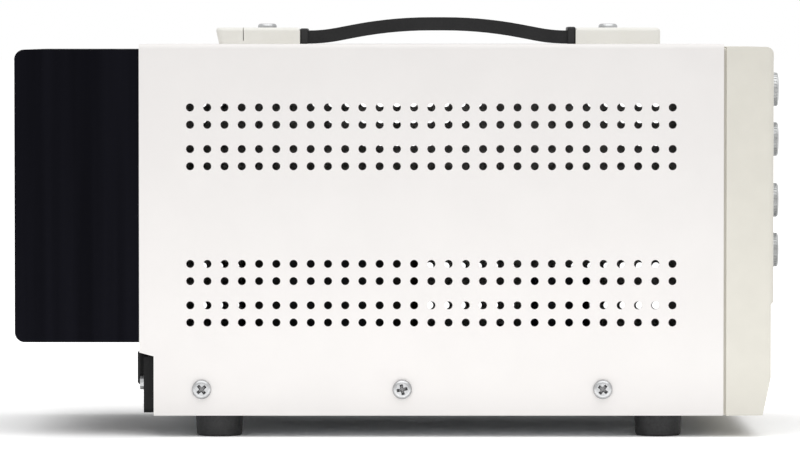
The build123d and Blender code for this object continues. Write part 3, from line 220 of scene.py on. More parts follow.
def dress(material, *nodes):
    """Gives solids of the frame their material."""
    for node in nodes:
        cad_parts[node].data.materials.clear()
        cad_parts[node].data.materials.append(material)


cover_low, cover_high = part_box("top_cover")
cover = add_block("cover_shell", *zip(cover_low, cover_high))
bpy.ops.object.mode_set(mode="EDIT")
pick(cover, "EDGE", lambda at, along: abs(along.y) > MOSTLY and at.z > cover_high.z - NEAR)
bpy.ops.mesh.bevel(offset=COVER_FOLD, segments=8, affect="EDGES")
pick(cover, "FACE", lambda at, out: out.z < -MOSTLY or abs(out.y) > MOSTLY)
bpy.ops.mesh.delete(type="FACE")
bpy.ops.object.mode_set(mode="OBJECT")
apply_modifier(cover, "SOLIDIFY", thickness=COVER_SHEET, offset=-1, use_even_offset=True)

# The rear edge steps in below the heatsink, with a short slope above the step
step = add_block(
    "step", (-CUT_REACH, CUT_REACH), (EAR_STEP_Y, cover_high.y + MM), (0, EAR_Z)
)
bpy.ops.object.mode_set(mode="EDIT")
pick(step, "EDGE", lambda at, along: at.z > EAR_Z - NEAR and at.y < EAR_STEP_Y + NEAR)
bpy.ops.transform.translate(value=(0, 0, -EAR_SLOPE))
bpy.ops.object.mode_set(mode="OBJECT")
cut(cover, step)

cover_middle_y = (cover_low.y + cover_high.y) / 2
first_vent = (0, cover_middle_y - (VENT_COLUMNS - 1) / 2 * VENT_PITCH, VENT_LOWEST_Z)
vents = add_rod("vents", first_vent, VENT_RADIUS, 2 * CUT_REACH, "X", VENT_SIDES)
for count, pitch in (
    (VENT_COLUMNS, (0, VENT_PITCH, 0)),
    (2, (0, 0, VENT_PITCH)),
    (2, (0, 0, VENT_PAIR_PITCH)),
    (2, (0, 0, VENT_GROUP_PITCH)),
):
    apply_modifier(
        vents,
        "ARRAY",
        count=count,
        use_relative_offset=False,
        use_constant_offset=True,
        constant_offset_displace=pitch,
    )
cut(cover, vents)
smooth(cover)

# Stoved enamel on steel: a satin coat with a faint orange peel, drawn at 1.2 mm
# so that it shows, which breaks up the edge of each reflection
cover_enamel, tree, shader = start_material("stoved_enamel", "#F1EEEC", 0.42)
add_texture(tree, shader, 1.2 * MM, 0.012 * MM, ("#F2EFED", "#F0EDEB"), (0.38, 0.46))
fit(cover, "case", cover_enamel, "cover_paint", "top_cover")


# Cover screws. Six zinc-plated pan heads with a cross recess hold the cover's
# lower edge to the chassis. The handle's two screws are the same kind.
COVER_SCREW_YS = (-73.0 * MM, 1.0 * MM, 75.0 * MM)
COVER_SCREW_Z = 17.7 * MM
COVER_SCREW_TURNS = (52, 12, 40)  # degrees that each recess happened to stop at
SCREW_DIAMETER = 7.2 * MM
COVER_SCREW_HEIGHT = 1.8 * MM
CROWN_SHARE = 0.75  # of a head's height: how much of it is rounded
RECESS_FLOOR_SHARE = 0.2  # of a head's height
RECESS_ARM_SHARE = 0.29  # of a head's diameter: from the middle to the arm's end
RECESS_WIDTH_SHARE = 0.085  # of a head's diameter: half the width of an arm
RECESS_TAPER = 0.6  # the recess at its floor, against its mouth


def join(name, pieces):
    """Makes one mesh of several."""
    select_only(*pieces)
    bpy.ops.object.join()
    pieces[0].name = name
    return pieces[0]


def copied(piece, place, turn=(0, 0, 0)):
    """A copy with its own mesh, turned about the origin and then moved."""
    select_only(piece)
    bpy.ops.object.duplicate()
    twin = bpy.context.object
    twin.rotation_euler = turn
    twin.location = place
    bpy.ops.object.transform_apply(location=True, rotation=True, scale=True)
    return twin


def add_pan_screw(name, diameter, height):
    """A cross-recessed pan head that stands on the origin along Z. The walls and
    the floor of its recess take the second material."""
    head = add_rod(name, (0, 0, height / 2), diameter / 2, height, "Z", 40)
    bpy.ops.object.mode_set(mode="EDIT")
    pick(head, "FACE", lambda at, out: out.z > MOSTLY)
    bpy.ops.mesh.bevel(offset=height * CROWN_SHARE, segments=6, affect="EDGES")
    bpy.ops.object.mode_set(mode="OBJECT")
    arm = diameter * RECESS_ARM_SHARE
    width = diameter * RECESS_WIDTH_SHARE
    for x, y in ((arm, width), (width, arm)):
        limits_z = (height * RECESS_FLOOR_SHARE, height * 1.1)
        recess = add_block("recess", (-x, x), (-y, y), limits_z)
        bpy.ops.object.mode_set(mode="EDIT")
        pick(recess, "FACE", lambda at, out: out.z < -MOSTLY)
        bpy.ops.transform.resize(value=(RECESS_TAPER, RECESS_TAPER, 1))
        bpy.ops.object.mode_set(mode="OBJECT")
        cut(head, recess)
    smooth(head)
    head.data.materials.append(zinc)
    # The second material is a darker grey on the recess walls and floor: painted shade for the
    # shadow in the cross
    head.data.materials.append(recess_painted_shade)
    for face in head.data.polygons:
        at, out = face.center, face.normal
        in_cross = max(abs(at.x), abs(at.y)) < arm * 1.02
        under_crown = at.z < height * 0.97
        wall_or_floor = out.z < 0.5 or at.z < height * 0.5
        if in_cross and under_crown and wall_or_floor:
            face.material_index = 1
    return head


# Bright zinc plate: a slightly uneven silver, with the fine turning of the
# header drawn as a soft speckle of about 0.3 mm
zinc, tree, shader = start_material("zinc_plated_steel", "#B5B6B7", 0.3, metallic=1.0)
add_texture(tree, shader, 0.3 * MM, 0.006 * MM, ("#BBBCBD", "#A7A8A9"), (0.24, 0.4))

# The recess is painted a darker grey than the head: painted shade, standing in for the shadow
# inside the cross
recess_painted_shade, tree, shader = start_material("screw_recess_painted_shade", "#8E8E8F", 0.5, metallic=1.0)
add_texture(tree, shader, 0.2 * MM, 0.006 * MM, ("#989899", "#828283"), (0.4, 0.6))

pan_screw = add_pan_screw("pan_screw", SCREW_DIAMETER, COVER_SCREW_HEIGHT)
heads = []
for y, recess_turn in zip(COVER_SCREW_YS, COVER_SCREW_TURNS):
    turned_screw = copied(pan_screw, (0, 0, 0), (0, 0, math.radians(recess_turn)))
    heads += [
        copied(turned_screw, (side * cover_high.x, y, COVER_SCREW_Z), (0, side * math.pi / 2, 0))
        for side in (-1, 1)
    ]
    bpy.data.objects.remove(turned_screw)
bpy.data.objects.remove(pan_screw)
fit(join("cover_screw_heads", heads), "case", zinc, "fastener_steel", "cover_screws")


# Chassis and rear panel. The tray is bent from bright zinc-plated steel. The rear
# panel that stands on it is painted a dull black behind the heatsink, and so is
# the strap that holds the transformer down.
chassis_zinc, tree, shader = start_material("zinc_plated_sheet", "#B9BBBC", 0.38, metallic=1.0)
add_texture(
    tree, shader, 0.5 * MM, 0.008 * MM, ("#BFC1C2", "#AFB1B3"), (0.3, 0.46), (1, 0.08, 1)
)
dress(chassis_zinc, "chassis", "board_standoffs")
panel_black, tree, shader = start_material("textured_black_paint", "#26272A", 0.6)
add_texture(tree, shader, 0.7 * MM, 0.05 * MM, ("#2A2B2E", "#222326"), (0.5, 0.7))
dress(panel_black, "rear_panel", "transformer_strap")
dress(
    zinc,
    "heatsink_screws",
    "transistor_screws",
    "inlet_screws",
    "transformer_screws",
    "board_screws",
    "bezel_screws",
    "foot_screws",
    "potentiometer_nuts",
    "terminal_nuts",
)


# Heatsink. An aluminium extrusion with fifteen upright fins fills the upper rear.
# It is anodised black, and keeps the fine lines that the die left along it.
# The dye leaves so little of the metal's reflection that it reads nearly black
sink_black, tree, shader = start_material("black_anodised_aluminium", "#101015", 0.45, 1.0)
add_texture(
    tree, shader, 0.4 * MM, 0.015 * MM, ("#131318", "#0D0D11"), (0.38, 0.54), (1, 1, 0.02)
)
dress(sink_black, "heatsink")


# Feet. Four moulded rubber buttons, each with a deep recess for its screw.
FOOT_PLACES = [(x * MM, y * MM) for x in (-52.0, 52.0) for y in (-93.9, 68.8)]
FOOT_RADIUS = 8.85 * MM
FOOT_HEIGHT = 8.0 * MM
FOOT_TAPER = 0.95  # the underside's size, against the top's
FOOT_ROUNDING = 1.0 * MM
FOOT_RIM = 2.3 * MM
FOOT_RECESS_DEPTH = 4.6 * MM
foot = add_rod("foot", (0, 0, FOOT_HEIGHT / 2), FOOT_RADIUS, FOOT_HEIGHT, "Z", 48)
bpy.ops.object.mode_set(mode="EDIT")
pick(foot, "FACE", lambda at, out: out.z < -MOSTLY)
bpy.ops.transform.resize(value=(FOOT_TAPER, FOOT_TAPER, 1))
bpy.ops.mesh.bevel(offset=FOOT_ROUNDING, segments=4, affect="EDGES")
pick(foot, "FACE", lambda at, out: out.z < -MOSTLY and at.length < MM)
bpy.ops.mesh.inset(thickness=FOOT_RIM, depth=0)
bpy.ops.mesh.extrude_region_move(TRANSFORM_OT_translate={"value": (0, 0, FOOT_RECESS_DEPTH)})
bpy.ops.object.mode_set(mode="OBJECT")
smooth(foot)
feet = join("rubber_feet", [copied(foot, (x, y, 0)) for x, y in FOOT_PLACES])
bpy.data.objects.remove(foot)

# Moulded black rubber: dull, with a dusty bloom that greys it in soft patches
rubber, tree, shader = start_material("moulded_rubber", "#232324", 0.6)
add_texture(tree, shader, 0.9 * MM, 0.04 * MM, ("#29292A", "#1D1D1E"), (0.5, 0.7))
fit(feet, "case", rubber, "foot_rubber", "feet")


# Mains inlet. A black nylon moulding with a fuse drawer, held by two screws.
nylon, tree, shader = start_material("black_nylon", "#101011", 0.42)
shader.inputs["Specular IOR Level"].default_value = 0.2
add_texture(tree, shader, 0.6 * MM, 0.02 * MM, ("#131314", "#0E0E0F"), (0.36, 0.5))
dress(nylon, "mains_inlet", "fuse_drawer", "power_switch", "relays")
blade, tree, shader = start_material("nickel_flashed_brass", "#C9BE9E", 0.26, metallic=1.0)
add_texture(tree, shader, 0.3 * MM, 0.004 * MM, ("#CFC5A6", "#BDB190"), (0.2, 0.34))
dress(blade, "inlet_pins")
fuse_tube, tree, shader = start_material("fuse_glass", "#D8DEDE", 0.08, ior=1.5)
shader.inputs["Transmission Weight"].default_value = 0.8
add_texture(tree, shader, 2.0 * MM, 0.004 * MM)
dress(fuse_tube, "fuse")


# Inside. A transformer, a regulator board and the power transistors stand behind
# the perforations, which show little of them but dark varnish, tape and epoxy.
SHEET_WAVE_SCALE = 79.5773  # a ridge every 3.9 mm over the edges of the laminations
core, tree, shader = start_material("varnished_laminations", "#1B1A19", 0.5)
place = add_node(tree, "TexCoord")
sheets = add_node(
    tree,
    "TexWave",
    {"Scale": SHEET_WAVE_SCALE, "bands_direction": "Y"},
    {"Vector": place.outputs["Object"]},
)
relief = add_node(tree, "Bump", {"Distance": 0.05 * MM}, {"Height": sheets.outputs["Fac"]})
tree.links.new(relief.outputs[0], shader.inputs["Normal"])
dress(core, "transformer_core")
tape, tree, shader = start_material("polyester_tape", "#2B2416", 0.4)
add_texture(tree, shader, 3.0 * MM, 0.05 * MM, ("#30281A", "#241E12"), (0.32, 0.48), (1, 1, 0.2))
dress(tape, "transformer_winding")
bobbin, tree, shader = start_material("glass_filled_nylon", "#D6D0BC", 0.5)
add_texture(tree, shader, 0.8 * MM, 0.02 * MM, ("#DAD4C1", "#CEC8B2"), (0.42, 0.58))
dress(bobbin, "transformer_bobbin")
board, tree, shader = start_material("green_circuit_board", "#1E5B35", 0.3)
add_texture(tree, shader, 1.5 * MM, 0.03 * MM, ("#2A6B40", "#174A2A"), (0.24, 0.4), (1, 0.3, 1))
dress(board, "main_board")
mask, tree, shader = start_material("black_solder_mask", "#16181A", 0.35)
add_texture(tree, shader, 1.5 * MM, 0.02 * MM, ("#191B1D", "#121416"), (0.3, 0.44), (1, 0.3, 1))
dress(mask, "display_board")
sleeve, tree, shader = start_material("shrink_sleeve", "#20222E", 0.28)
add_texture(tree, shader, 4.0 * MM, 0.05 * MM, ("#242736", "#1B1D28"), (0.2, 0.36), (1, 1, 0.3))
dress(sleeve, "filter_capacitors")
epoxy, tree, shader = start_material("moulded_epoxy", "#202020", 0.55)
add_texture(tree, shader, 0.3 * MM, 0.02 * MM, ("#252525", "#1B1B1B"), (0.48, 0.62))
dress(epoxy, "power_transistors", "bridge_rectifier", "display_modules")
pad, tree, shader = start_material("silicone_pad", "#A9A8A2", 0.7)
add_texture(tree, shader, 0.5 * MM, 0.02 * MM, ("#AEADA7", "#A09F99"), (0.62, 0.78))
dress(pad, "transistor_pads")
plated, tree, shader = start_material("plated_steel_can", "#AFAFAA", 0.34, metallic=1.0)
add_texture(tree, shader, 0.4 * MM, 0.008 * MM, ("#B6B6B1", "#A2A29D"), (0.28, 0.42))
dress(
    plated,
    "potentiometers",
    "voltage_coarse_shaft",
    "voltage_fine_shaft",
    "current_coarse_shaft",
    "current_fine_shaft",
)
pvc, tree, shader = start_material("pvc_insulation", "#7A3A22", 0.35)
add_texture(tree, shader, 2.0 * MM, 0.02 * MM, ("#84412A", "#6B321C"), (0.28, 0.42))
dress(pvc, "internal_leads")


# Front bezel. A moulded frame in greenish beige, with an open recess for the
# panel. The tool's fine spark texture dulls it.
bezel_plastic, tree, shader = start_material("textured_abs", "#E2DFD5", 0.5)
add_texture(tree, shader, 0.5 * MM, 0.02 * MM, ("#E3E0D6", "#E0DDD3"), (0.45, 0.58))
dress(bezel_plastic, "front_bezel")


# Front panel. A flat plate painted a satin dark grey, with marks screen-printed
# in white: ticks round the knobs, signs over the terminals and the units shown.
PANEL_Y = -125.0 * MM
KNOB_X = 30.0 * MM
KNOB_ZS = [z * MM for z in (127.45, 108.25, 84.75, 65.55)]
KNOB_NAMES = ["voltage_coarse", "voltage_fine", "current_coarse", "current_fine"]
KNOB_SWEEP = math.radians(300)
TERMINAL_XS = [x * MM for x in (11.0, 30.0, 49.0)]  # negative, earth, positive
TERMINAL_Z = 33.0 * MM
TICK_COUNT = 11
TICK_MIDDLE = 8.6 * MM  # from the knob's axis
TICK_HALF = (0.15 * MM, 0.5 * MM)
SIGN_RISE = 11.5 * MM
SIGN_ARM = 1.6 * MM
SIGN_STROKE = 0.3 * MM  # half the thickness of the lines of + and -
STEM_HALF = (0.25 * MM, 0.9 * MM)
EARTH_BARS = ((0, 1.8 * MM), (0.9 * MM, 1.2 * MM), (1.8 * MM, 0.6 * MM))  # drop, half width
EARTH_STROKE = 0.2 * MM
WORDS = (  # each with its place across and up, and the size of its letters
    ("V", 13.5 * MM, 117.85 * MM, 5.0 * MM),
    ("A", 13.5 * MM, 75.15 * MM, 5.0 * MM),
    ("ON / OFF", -38.0 * MM, 22.6 * MM, 3.2 * MM),
)
panel_paint, tree, shader = start_material("grey_panel_paint", "#55585B", 0.5)
add_texture(tree, shader, 0.5 * MM, 0.015 * MM, ("#575A5D", "#535659"), (0.44, 0.56))
dress(panel_paint, "front_panel")
ink, tree, shader = start_material("screen_printed_ink", "#E2E2DE", 0.55)
add_texture(tree, shader, 0.3 * MM, 0.004 * MM, ("#E6E6E2", "#DCDCD8"), (0.48, 0.62))


def add_mark(words, x, z, size):
    """A printed sign on the panel, centred on a point."""
    bpy.ops.object.select_all(action="DESELECT")
    bpy.ops.object.text_add()
    mark = bpy.context.object
    mark.data.body = words
    mark.data.size = size
    mark.data.align_x = "CENTER"
    mark.data.align_y = "CENTER"
    bpy.ops.object.convert(target="MESH")
    mark = bpy.context.object
    mark.rotation_euler = (math.pi / 2, 0, 0)
    mark.location = (x, PANEL_Y - 0.03 * MM, z)
    bpy.ops.object.transform_apply(location=True, rotation=True, scale=True)
    return mark


def add_line(x, z, half_width, half_height):
    """A thin printed line on the panel, centred on a point."""
    return add_block(
        "line",
        (x - half_width, x + half_width),
        (PANEL_Y - 0.05 * MM, PANEL_Y - 0.01 * MM),
        (z - half_height, z + half_height),
    )


# Ticks over the 300 degrees that a knob turns through
dial = add_line(0, TICK_MIDDLE, *TICK_HALF)
bpy.ops.object.mode_set(mode="EDIT")
bpy.ops.mesh.select_all(action="SELECT")
bpy.ops.transform.rotate(value=KNOB_SWEEP / 2, orient_axis="Y", center_override=(0, 0, 0))
bpy.ops.mesh.spin(
    steps=TICK_COUNT - 1, dupli=True, angle=KNOB_SWEEP, center=(0, 0, 0), axis=(0, 1, 0)
)
bpy.ops.object.mode_set(mode="OBJECT")
marks = [copied(dial, (KNOB_X, 0, z)) for z in KNOB_ZS]
bpy.data.objects.remove(dial)

# A minus, a plus and an earth sign stand over the terminals
negative_x, earth_x, positive_x = TERMINAL_XS
sign_z = TERMINAL_Z + SIGN_RISE
marks += [
    add_line(negative_x, sign_z, SIGN_ARM, SIGN_STROKE),
    add_line(positive_x, sign_z, SIGN_ARM, SIGN_STROKE),
    add_line(positive_x, sign_z, SIGN_STROKE, SIGN_ARM),
    add_line(earth_x, sign_z + STEM_HALF[1], *STEM_HALF),
]
marks += [add_line(earth_x, sign_z - drop, half, EARTH_STROKE) for drop, half in EARTH_BARS]
marks += [add_mark(*printed) for printed in WORDS]
fit(join("panel_marks", marks), "case", ink, "panel_paint")


# Display. Two digit modules with pale, unlit segments behind a tinted window.
MODULE_ZS = [117.85 * MM, 75.15 * MM]
MODULE_X = -20.0 * MM
MODULE_Y = -123.2 * MM
DIGIT_PITCH = 11.5 * MM
DIGIT_RISE = 0.05 * MM  # the segments' middle, in front of the module's face
SEGMENT_LENGTH = 5.4 * MM
SEGMENT_WIDTH = 1.1 * MM
SEGMENT_THICKNESS = 0.08 * MM
SEGMENT_GAP = 0.3 * MM
POINT_RADIUS = 0.6 * MM
POINT_SHIFT = 1.3 * MM
segment = add_block(
    "segment",
    (-SEGMENT_LENGTH / 2, SEGMENT_LENGTH / 2),
    (-SEGMENT_THICKNESS / 2, SEGMENT_THICKNESS / 2),
    (-SEGMENT_WIDTH / 2, SEGMENT_WIDTH / 2),
)
bpy.ops.object.mode_set(mode="EDIT")
pick(segment, "EDGE", lambda at, along: abs(along.y) > MOSTLY)
bpy.ops.mesh.bevel(offset=SEGMENT_WIDTH * 0.48, segments=1, affect="EDGES")
bpy.ops.object.mode_set(mode="OBJECT")
half = SEGMENT_LENGTH / 2 + SEGMENT_GAP
point = (half + POINT_SHIFT, 0, -2 * half)
digit = join(
    "digit",
    [copied(segment, (0, 0, level)) for level in (-2 * half, 0, 2 * half)]
    + [
        copied(segment, (side * half, 0, level), (0, math.pi / 2, 0))
        for side in (-1, 1)
        for level in (-half, half)
    ]
    + [add_rod("point", point, POINT_RADIUS, SEGMENT_THICKNESS, "Y", 16)],
)
bpy.data.objects.remove(segment)
digits = [
    copied(digit, (MODULE_X + n * DIGIT_PITCH, MODULE_Y - DIGIT_RISE, z))
    for z in MODULE_ZS
    for n in (-1, 0, 1)
]
bpy.data.objects.remove(digit)
segment_resin, tree, shader = start_material("diffused_segment_resin", "#C9A9A2", 0.45)
add_texture(tree, shader, 0.5 * MM, 0.01 * MM, ("#CFB0A9", "#C09F98"), (0.4, 0.52))
fit(join("display_digits", digits), "case", segment_resin, "module_resin")

# Smoked red acrylic: a dark gloss, thin enough for the digits to show dimly
window, tree, shader = start_material("tinted_acrylic", "#240E0D", 0.08, ior=1.49)
shader.inputs["Alpha"].default_value = 0.5
add_texture(tree, shader, 20 * MM, 0.004 * MM, None, (0.06, 0.1))
dress(window, "display_window")


# Knobs. Four turned knobs in satin aluminium, fluted round the side, with a
# dished nose and an engraved line that shows their setting.
KNOB_FRONT_Y = -144.0 * MM
KNOB_BACK_Y = -126.5 * MM
KNOB_RADIUS = 7.0 * MM
KNOB_TAPER = 0.93  # the nose's size, against the back's
KNOB_ROUNDING = 0.7 * MM
KNOB_SIDES = 96
DISH_RIM = 0.9 * MM
DISH_DEPTH = 0.3 * MM
FLUTE_EDGE = 0.06 * MM
FLUTE_DEPTH = 0.2 * MM
POINTER_HALF = 0.35 * MM
POINTER_LIMITS = (1.2 * MM, 4.7 * MM)  # from the knob's axis


def pick_sides(piece, sides, group, chosen):
    """In edit mode, goes round the side faces of a rod along Y in groups of
    neighbours, and selects those whose place in the group is chosen."""
    side_step = 2 * math.pi / sides
    pick(
        piece,
        "FACE",
        lambda at, out: abs(out.y) < 0.1
        and round(math.atan2(at.z, at.x) / side_step - 0.5) % group in chosen,
    )


knob_middle = (0, (KNOB_FRONT_Y + KNOB_BACK_Y) / 2, 0)
knob_length = KNOB_BACK_Y - KNOB_FRONT_Y
knob = add_rod("knob", knob_middle, KNOB_RADIUS, knob_length, "Y", KNOB_SIDES)
bpy.ops.object.mode_set(mode="EDIT")
pick(knob, "FACE", lambda at, out: out.y < -MOSTLY)
bpy.ops.transform.resize(value=(KNOB_TAPER, 1, KNOB_TAPER))
bpy.ops.mesh.bevel(offset=KNOB_ROUNDING, segments=4, affect="EDGES")
pick(knob, "FACE", lambda at, out: out.y < -FULLY and Vector((at.x, at.z)).length < MM / 2)
bpy.ops.mesh.inset(thickness=DISH_RIM, depth=-DISH_DEPTH)
pick_sides(knob, KNOB_SIDES, 3, (1, 2))
bpy.ops.mesh.inset(thickness=FLUTE_EDGE, depth=-FLUTE_DEPTH, use_individual=False)
bpy.ops.object.mode_set(mode="OBJECT")
smooth(knob, 40)

# Satin turned aluminium: silvery, with rings from the tool round the axis
turned, tree, shader = start_material("satin_turned_aluminium", "#B2B3B3", 0.46, metallic=1.0)
add_texture(
    tree, shader, 0.3 * MM, 0.01 * MM, ("#B8B9B9", "#ABACAC"), (0.42, 0.52), (0.15, 1, 0.15)
)
line_fill, tree, shader = start_material("engraved_line_fill", "#2A2B2D", 0.6)
add_texture(tree, shader, 0.3 * MM, 0.006 * MM, ("#2E2F31", "#252628"), (0.5, 0.68))
for name, z in zip(KNOB_NAMES, KNOB_ZS):
    fit(copied(knob, (KNOB_X, 0, z)), name, turned, "knob_metal", name + "_knob")
    bpy.context.object.name = name + "_fluted_knob"
    pointer = add_block(
        name + "_pointer",
        (KNOB_X - POINTER_HALF, KNOB_X + POINTER_HALF),
        (KNOB_FRONT_Y + 0.2 * MM, KNOB_FRONT_Y + 0.4 * MM),
        (z + POINTER_LIMITS[0], z + POINTER_LIMITS[1]),
    )
    fit(pointer, name, line_fill, "knob_metal")
bpy.data.objects.remove(knob)


# Power button. A square push-button in pale grey, proud of the panel, with a
# shallow dish for the finger.
BUTTON_X = -38.0 * MM
BUTTON_Z = 33.0 * MM
BUTTON_HALF = 6.0 * MM
BUTTON_FRONT_Y = -131.0 * MM
BUTTON_BACK_Y = -121.5 * MM
BUTTON_ROUNDING = 0.9 * MM
BUTTON_RIM = 1.2 * MM
BUTTON_DISH = 0.35 * MM
button = add_block(
    "push_button",
    (BUTTON_X - BUTTON_HALF, BUTTON_X + BUTTON_HALF),
    (BUTTON_FRONT_Y, BUTTON_BACK_Y),
    (BUTTON_Z - BUTTON_HALF, BUTTON_Z + BUTTON_HALF),
)
bpy.ops.object.mode_set(mode="EDIT")
pick(button, "EDGE", lambda at, along: abs(along.y) > MOSTLY or at.y < BUTTON_FRONT_Y + NEAR)
bpy.ops.mesh.bevel(offset=BUTTON_ROUNDING, segments=4, affect="EDGES")
pick(button, "FACE", lambda at, out: out.y < -FULLY and abs(at.x - BUTTON_X) < MM)
bpy.ops.mesh.inset(thickness=BUTTON_RIM, depth=-BUTTON_DISH)
bpy.ops.object.mode_set(mode="OBJECT")
smooth(button)
button_plastic, tree, shader = start_material("pale_button_abs", "#D4D4CE", 0.35)
add_texture(tree, shader, 0.8 * MM, 0.01 * MM, ("#D7D7D1", "#CFCFC9"), (0.3, 0.42))
fit(button, "power_button", button_plastic, "button_plastic", "power_button")


# Lamps. Two small domes of coloured resin, unlit: a green one for a constant
# voltage and a red one for a constant current.
LAMP_RADIUS = 1.5 * MM
LAMP_Y = -124.7 * MM
LAMP_Z = 50.0 * MM
for name, x, colour, nodes in (
    ("voltage_lamp", -45.0 * MM, "#2F8F4A", ["indicator_lamps"]),
    ("current_lamp", -27.0 * MM, "#B3261E", []),
):
    bpy.ops.object.select_all(action="DESELECT")
    bpy.ops.mesh.primitive_uv_sphere_add(
        segments=32, ring_count=16, radius=LAMP_RADIUS, location=(x, LAMP_Y, LAMP_Z)
    )
    lamp = bpy.context.object
    lamp.name = name
    bpy.ops.object.transform_apply(location=True, rotation=True, scale=True)
    smooth(lamp)
    resin, tree, shader = start_material(name + "_resin", colour, 0.2, ior=1.55)
    shader.inputs["Transmission Weight"].default_value = 0.4
    add_texture(tree, shader, 1.0 * MM, 0.01 * MM)
    fit(lamp, "case", resin, "lamp_resin", *nodes)


# Output terminals. Each has an ivory insulating collar, a nickel-plated post
# with a test socket in its end, and a ribbed screw cap over a clamp washer.
COLLAR_RADIUS = 6.5 * MM
COLLAR_LENGTH = 3.0 * MM
COLLAR_MIDDLE_Y = -126.5 * MM
COLLAR_ROUNDING = 0.5 * MM
CAP_RADIUS = 6.0 * MM
CAP_LENGTH = 5.4 * MM
CAP_MIDDLE_Y = -132.0 * MM
CAP_ROUNDING = 0.6 * MM
CAP_SIDES = 72
CAP_BORE_RADIUS = 3.12 * MM
RIB_EDGE = 0.05 * MM
RIB_DEPTH = 0.35 * MM
collars = []
for x in TERMINAL_XS:
    middle = (x, COLLAR_MIDDLE_Y, TERMINAL_Z)
    collar = add_rod("collar", middle, COLLAR_RADIUS, COLLAR_LENGTH, "Y", 64)
    bpy.ops.object.mode_set(mode="EDIT")
    pick(collar, "FACE", lambda at, out: out.y < -MOSTLY)
    bpy.ops.mesh.bevel(offset=COLLAR_ROUNDING, segments=3, affect="EDGES")
    bpy.ops.object.mode_set(mode="OBJECT")
    smooth(collar)
    collars.append(collar)
fit(join("terminal_collars", collars), "case", bobbin, "bobbin_plastic", "terminal_insulators")
nickel, tree, shader = start_material("nickel_plated_brass", "#CBC7BC", 0.2, metallic=1.0)
add_texture(tree, shader, 0.3 * MM, 0.004 * MM, ("#D0CCC2", "#BFBBB0"), (0.16, 0.28))
dress(nickel, "terminal_posts", "negative_clamp", "earth_clamp", "positive_clamp")

cap_middle = (0, CAP_MIDDLE_Y, 0)
cap = add_rod("cap", cap_middle, CAP_RADIUS, CAP_LENGTH, "Y", CAP_SIDES)
bpy.ops.object.mode_set(mode="EDIT")
pick(cap, "FACE", lambda at, out: out.y < -MOSTLY)
bpy.ops.mesh.bevel(offset=CAP_ROUNDING, segments=3, affect="EDGES")
pick_sides(cap, CAP_SIDES, 4, (2, 3))
bpy.ops.mesh.inset(thickness=RIB_EDGE, depth=-RIB_DEPTH, use_individual=False)
bpy.ops.object.mode_set(mode="OBJECT")
cut(cap, add_rod("bore", cap_middle, CAP_BORE_RADIUS, 8.0 * MM, "Y", 48))
smooth(cap, 40)
for name, x, colour, slot in (
    ("negative", negative_x, "#1C1C1D", "cap_black"),
    ("earth", earth_x, "#1F7A3C", "cap_green"),
    ("positive", positive_x, "#A81E1C", "cap_red"),
):
    # Moulded phenolic-like resin: glossy, with faint flow marks
    resin, tree, shader = start_material(name + "_cap_resin", colour, 0.28)
    add_texture(tree, shader, 1.0 * MM, 0.01 * MM, None, (0.22, 0.36))
    ribbed = copied(cap, (x, 0, TERMINAL_Z))
    ribbed.name = name + "_ribbed_cap"
    fit(ribbed, name + "_cap", resin, slot, name + "_cap")
bpy.data.objects.remove(cap)


# Carrying handle. A rubber-covered spring strap bows up between two moulded
# brackets. A black collar closes each bracket where the strap leaves it.
BRACKET_HALF = 12.3 * MM
BRACKET_UNDERCUT = 1.4 * MM  # how far the rear bracket's end leans in at its foot
BRACKET_CORNER = 2.5 * MM
BRACKET_ROUNDING = 1.5 * MM
JOINT_FROM_END = 10.6 * MM  # the fine joint across the rear bracket
JOINT_HALF = 0.15 * MM
JOINT_DEPTH = 5 * MM
COLLAR_HALF = 11.4 * MM
COLLAR_REACH = 3.1 * MM
COLLAR_DROP = 0.3 * MM  # the rear collar's, and the front one's rise
STRAP_COLLAR_ROUNDING = 0.7 * MM
strap_rubber, tree, shader = start_material("strap_rubber", "#1F1F20", 0.62)
shader.inputs["Specular IOR Level"].default_value = 0.3
add_texture(tree, shader, 0.8 * MM, 0.03 * MM, ("#232324", "#1B1B1C"), (0.55, 0.7))
dress(strap_rubber, "handle_strap")
bracket_plastic, tree, shader = start_material("off_white_abs", "#F0EFE9", 0.45)
add_texture(tree, shader, 0.6 * MM, 0.015 * MM, ("#F1F0EA", "#EFEEE7"), (0.4, 0.52))
collar_black, tree, shader = start_material("black_strap_collar", "#1E1E1F", 0.5)
shader.inputs["Specular IOR Level"].default_value = 0.4
add_texture(tree, shader, 0.6 * MM, 0.02 * MM, ("#212122", "#1B1B1C"), (0.44, 0.58))

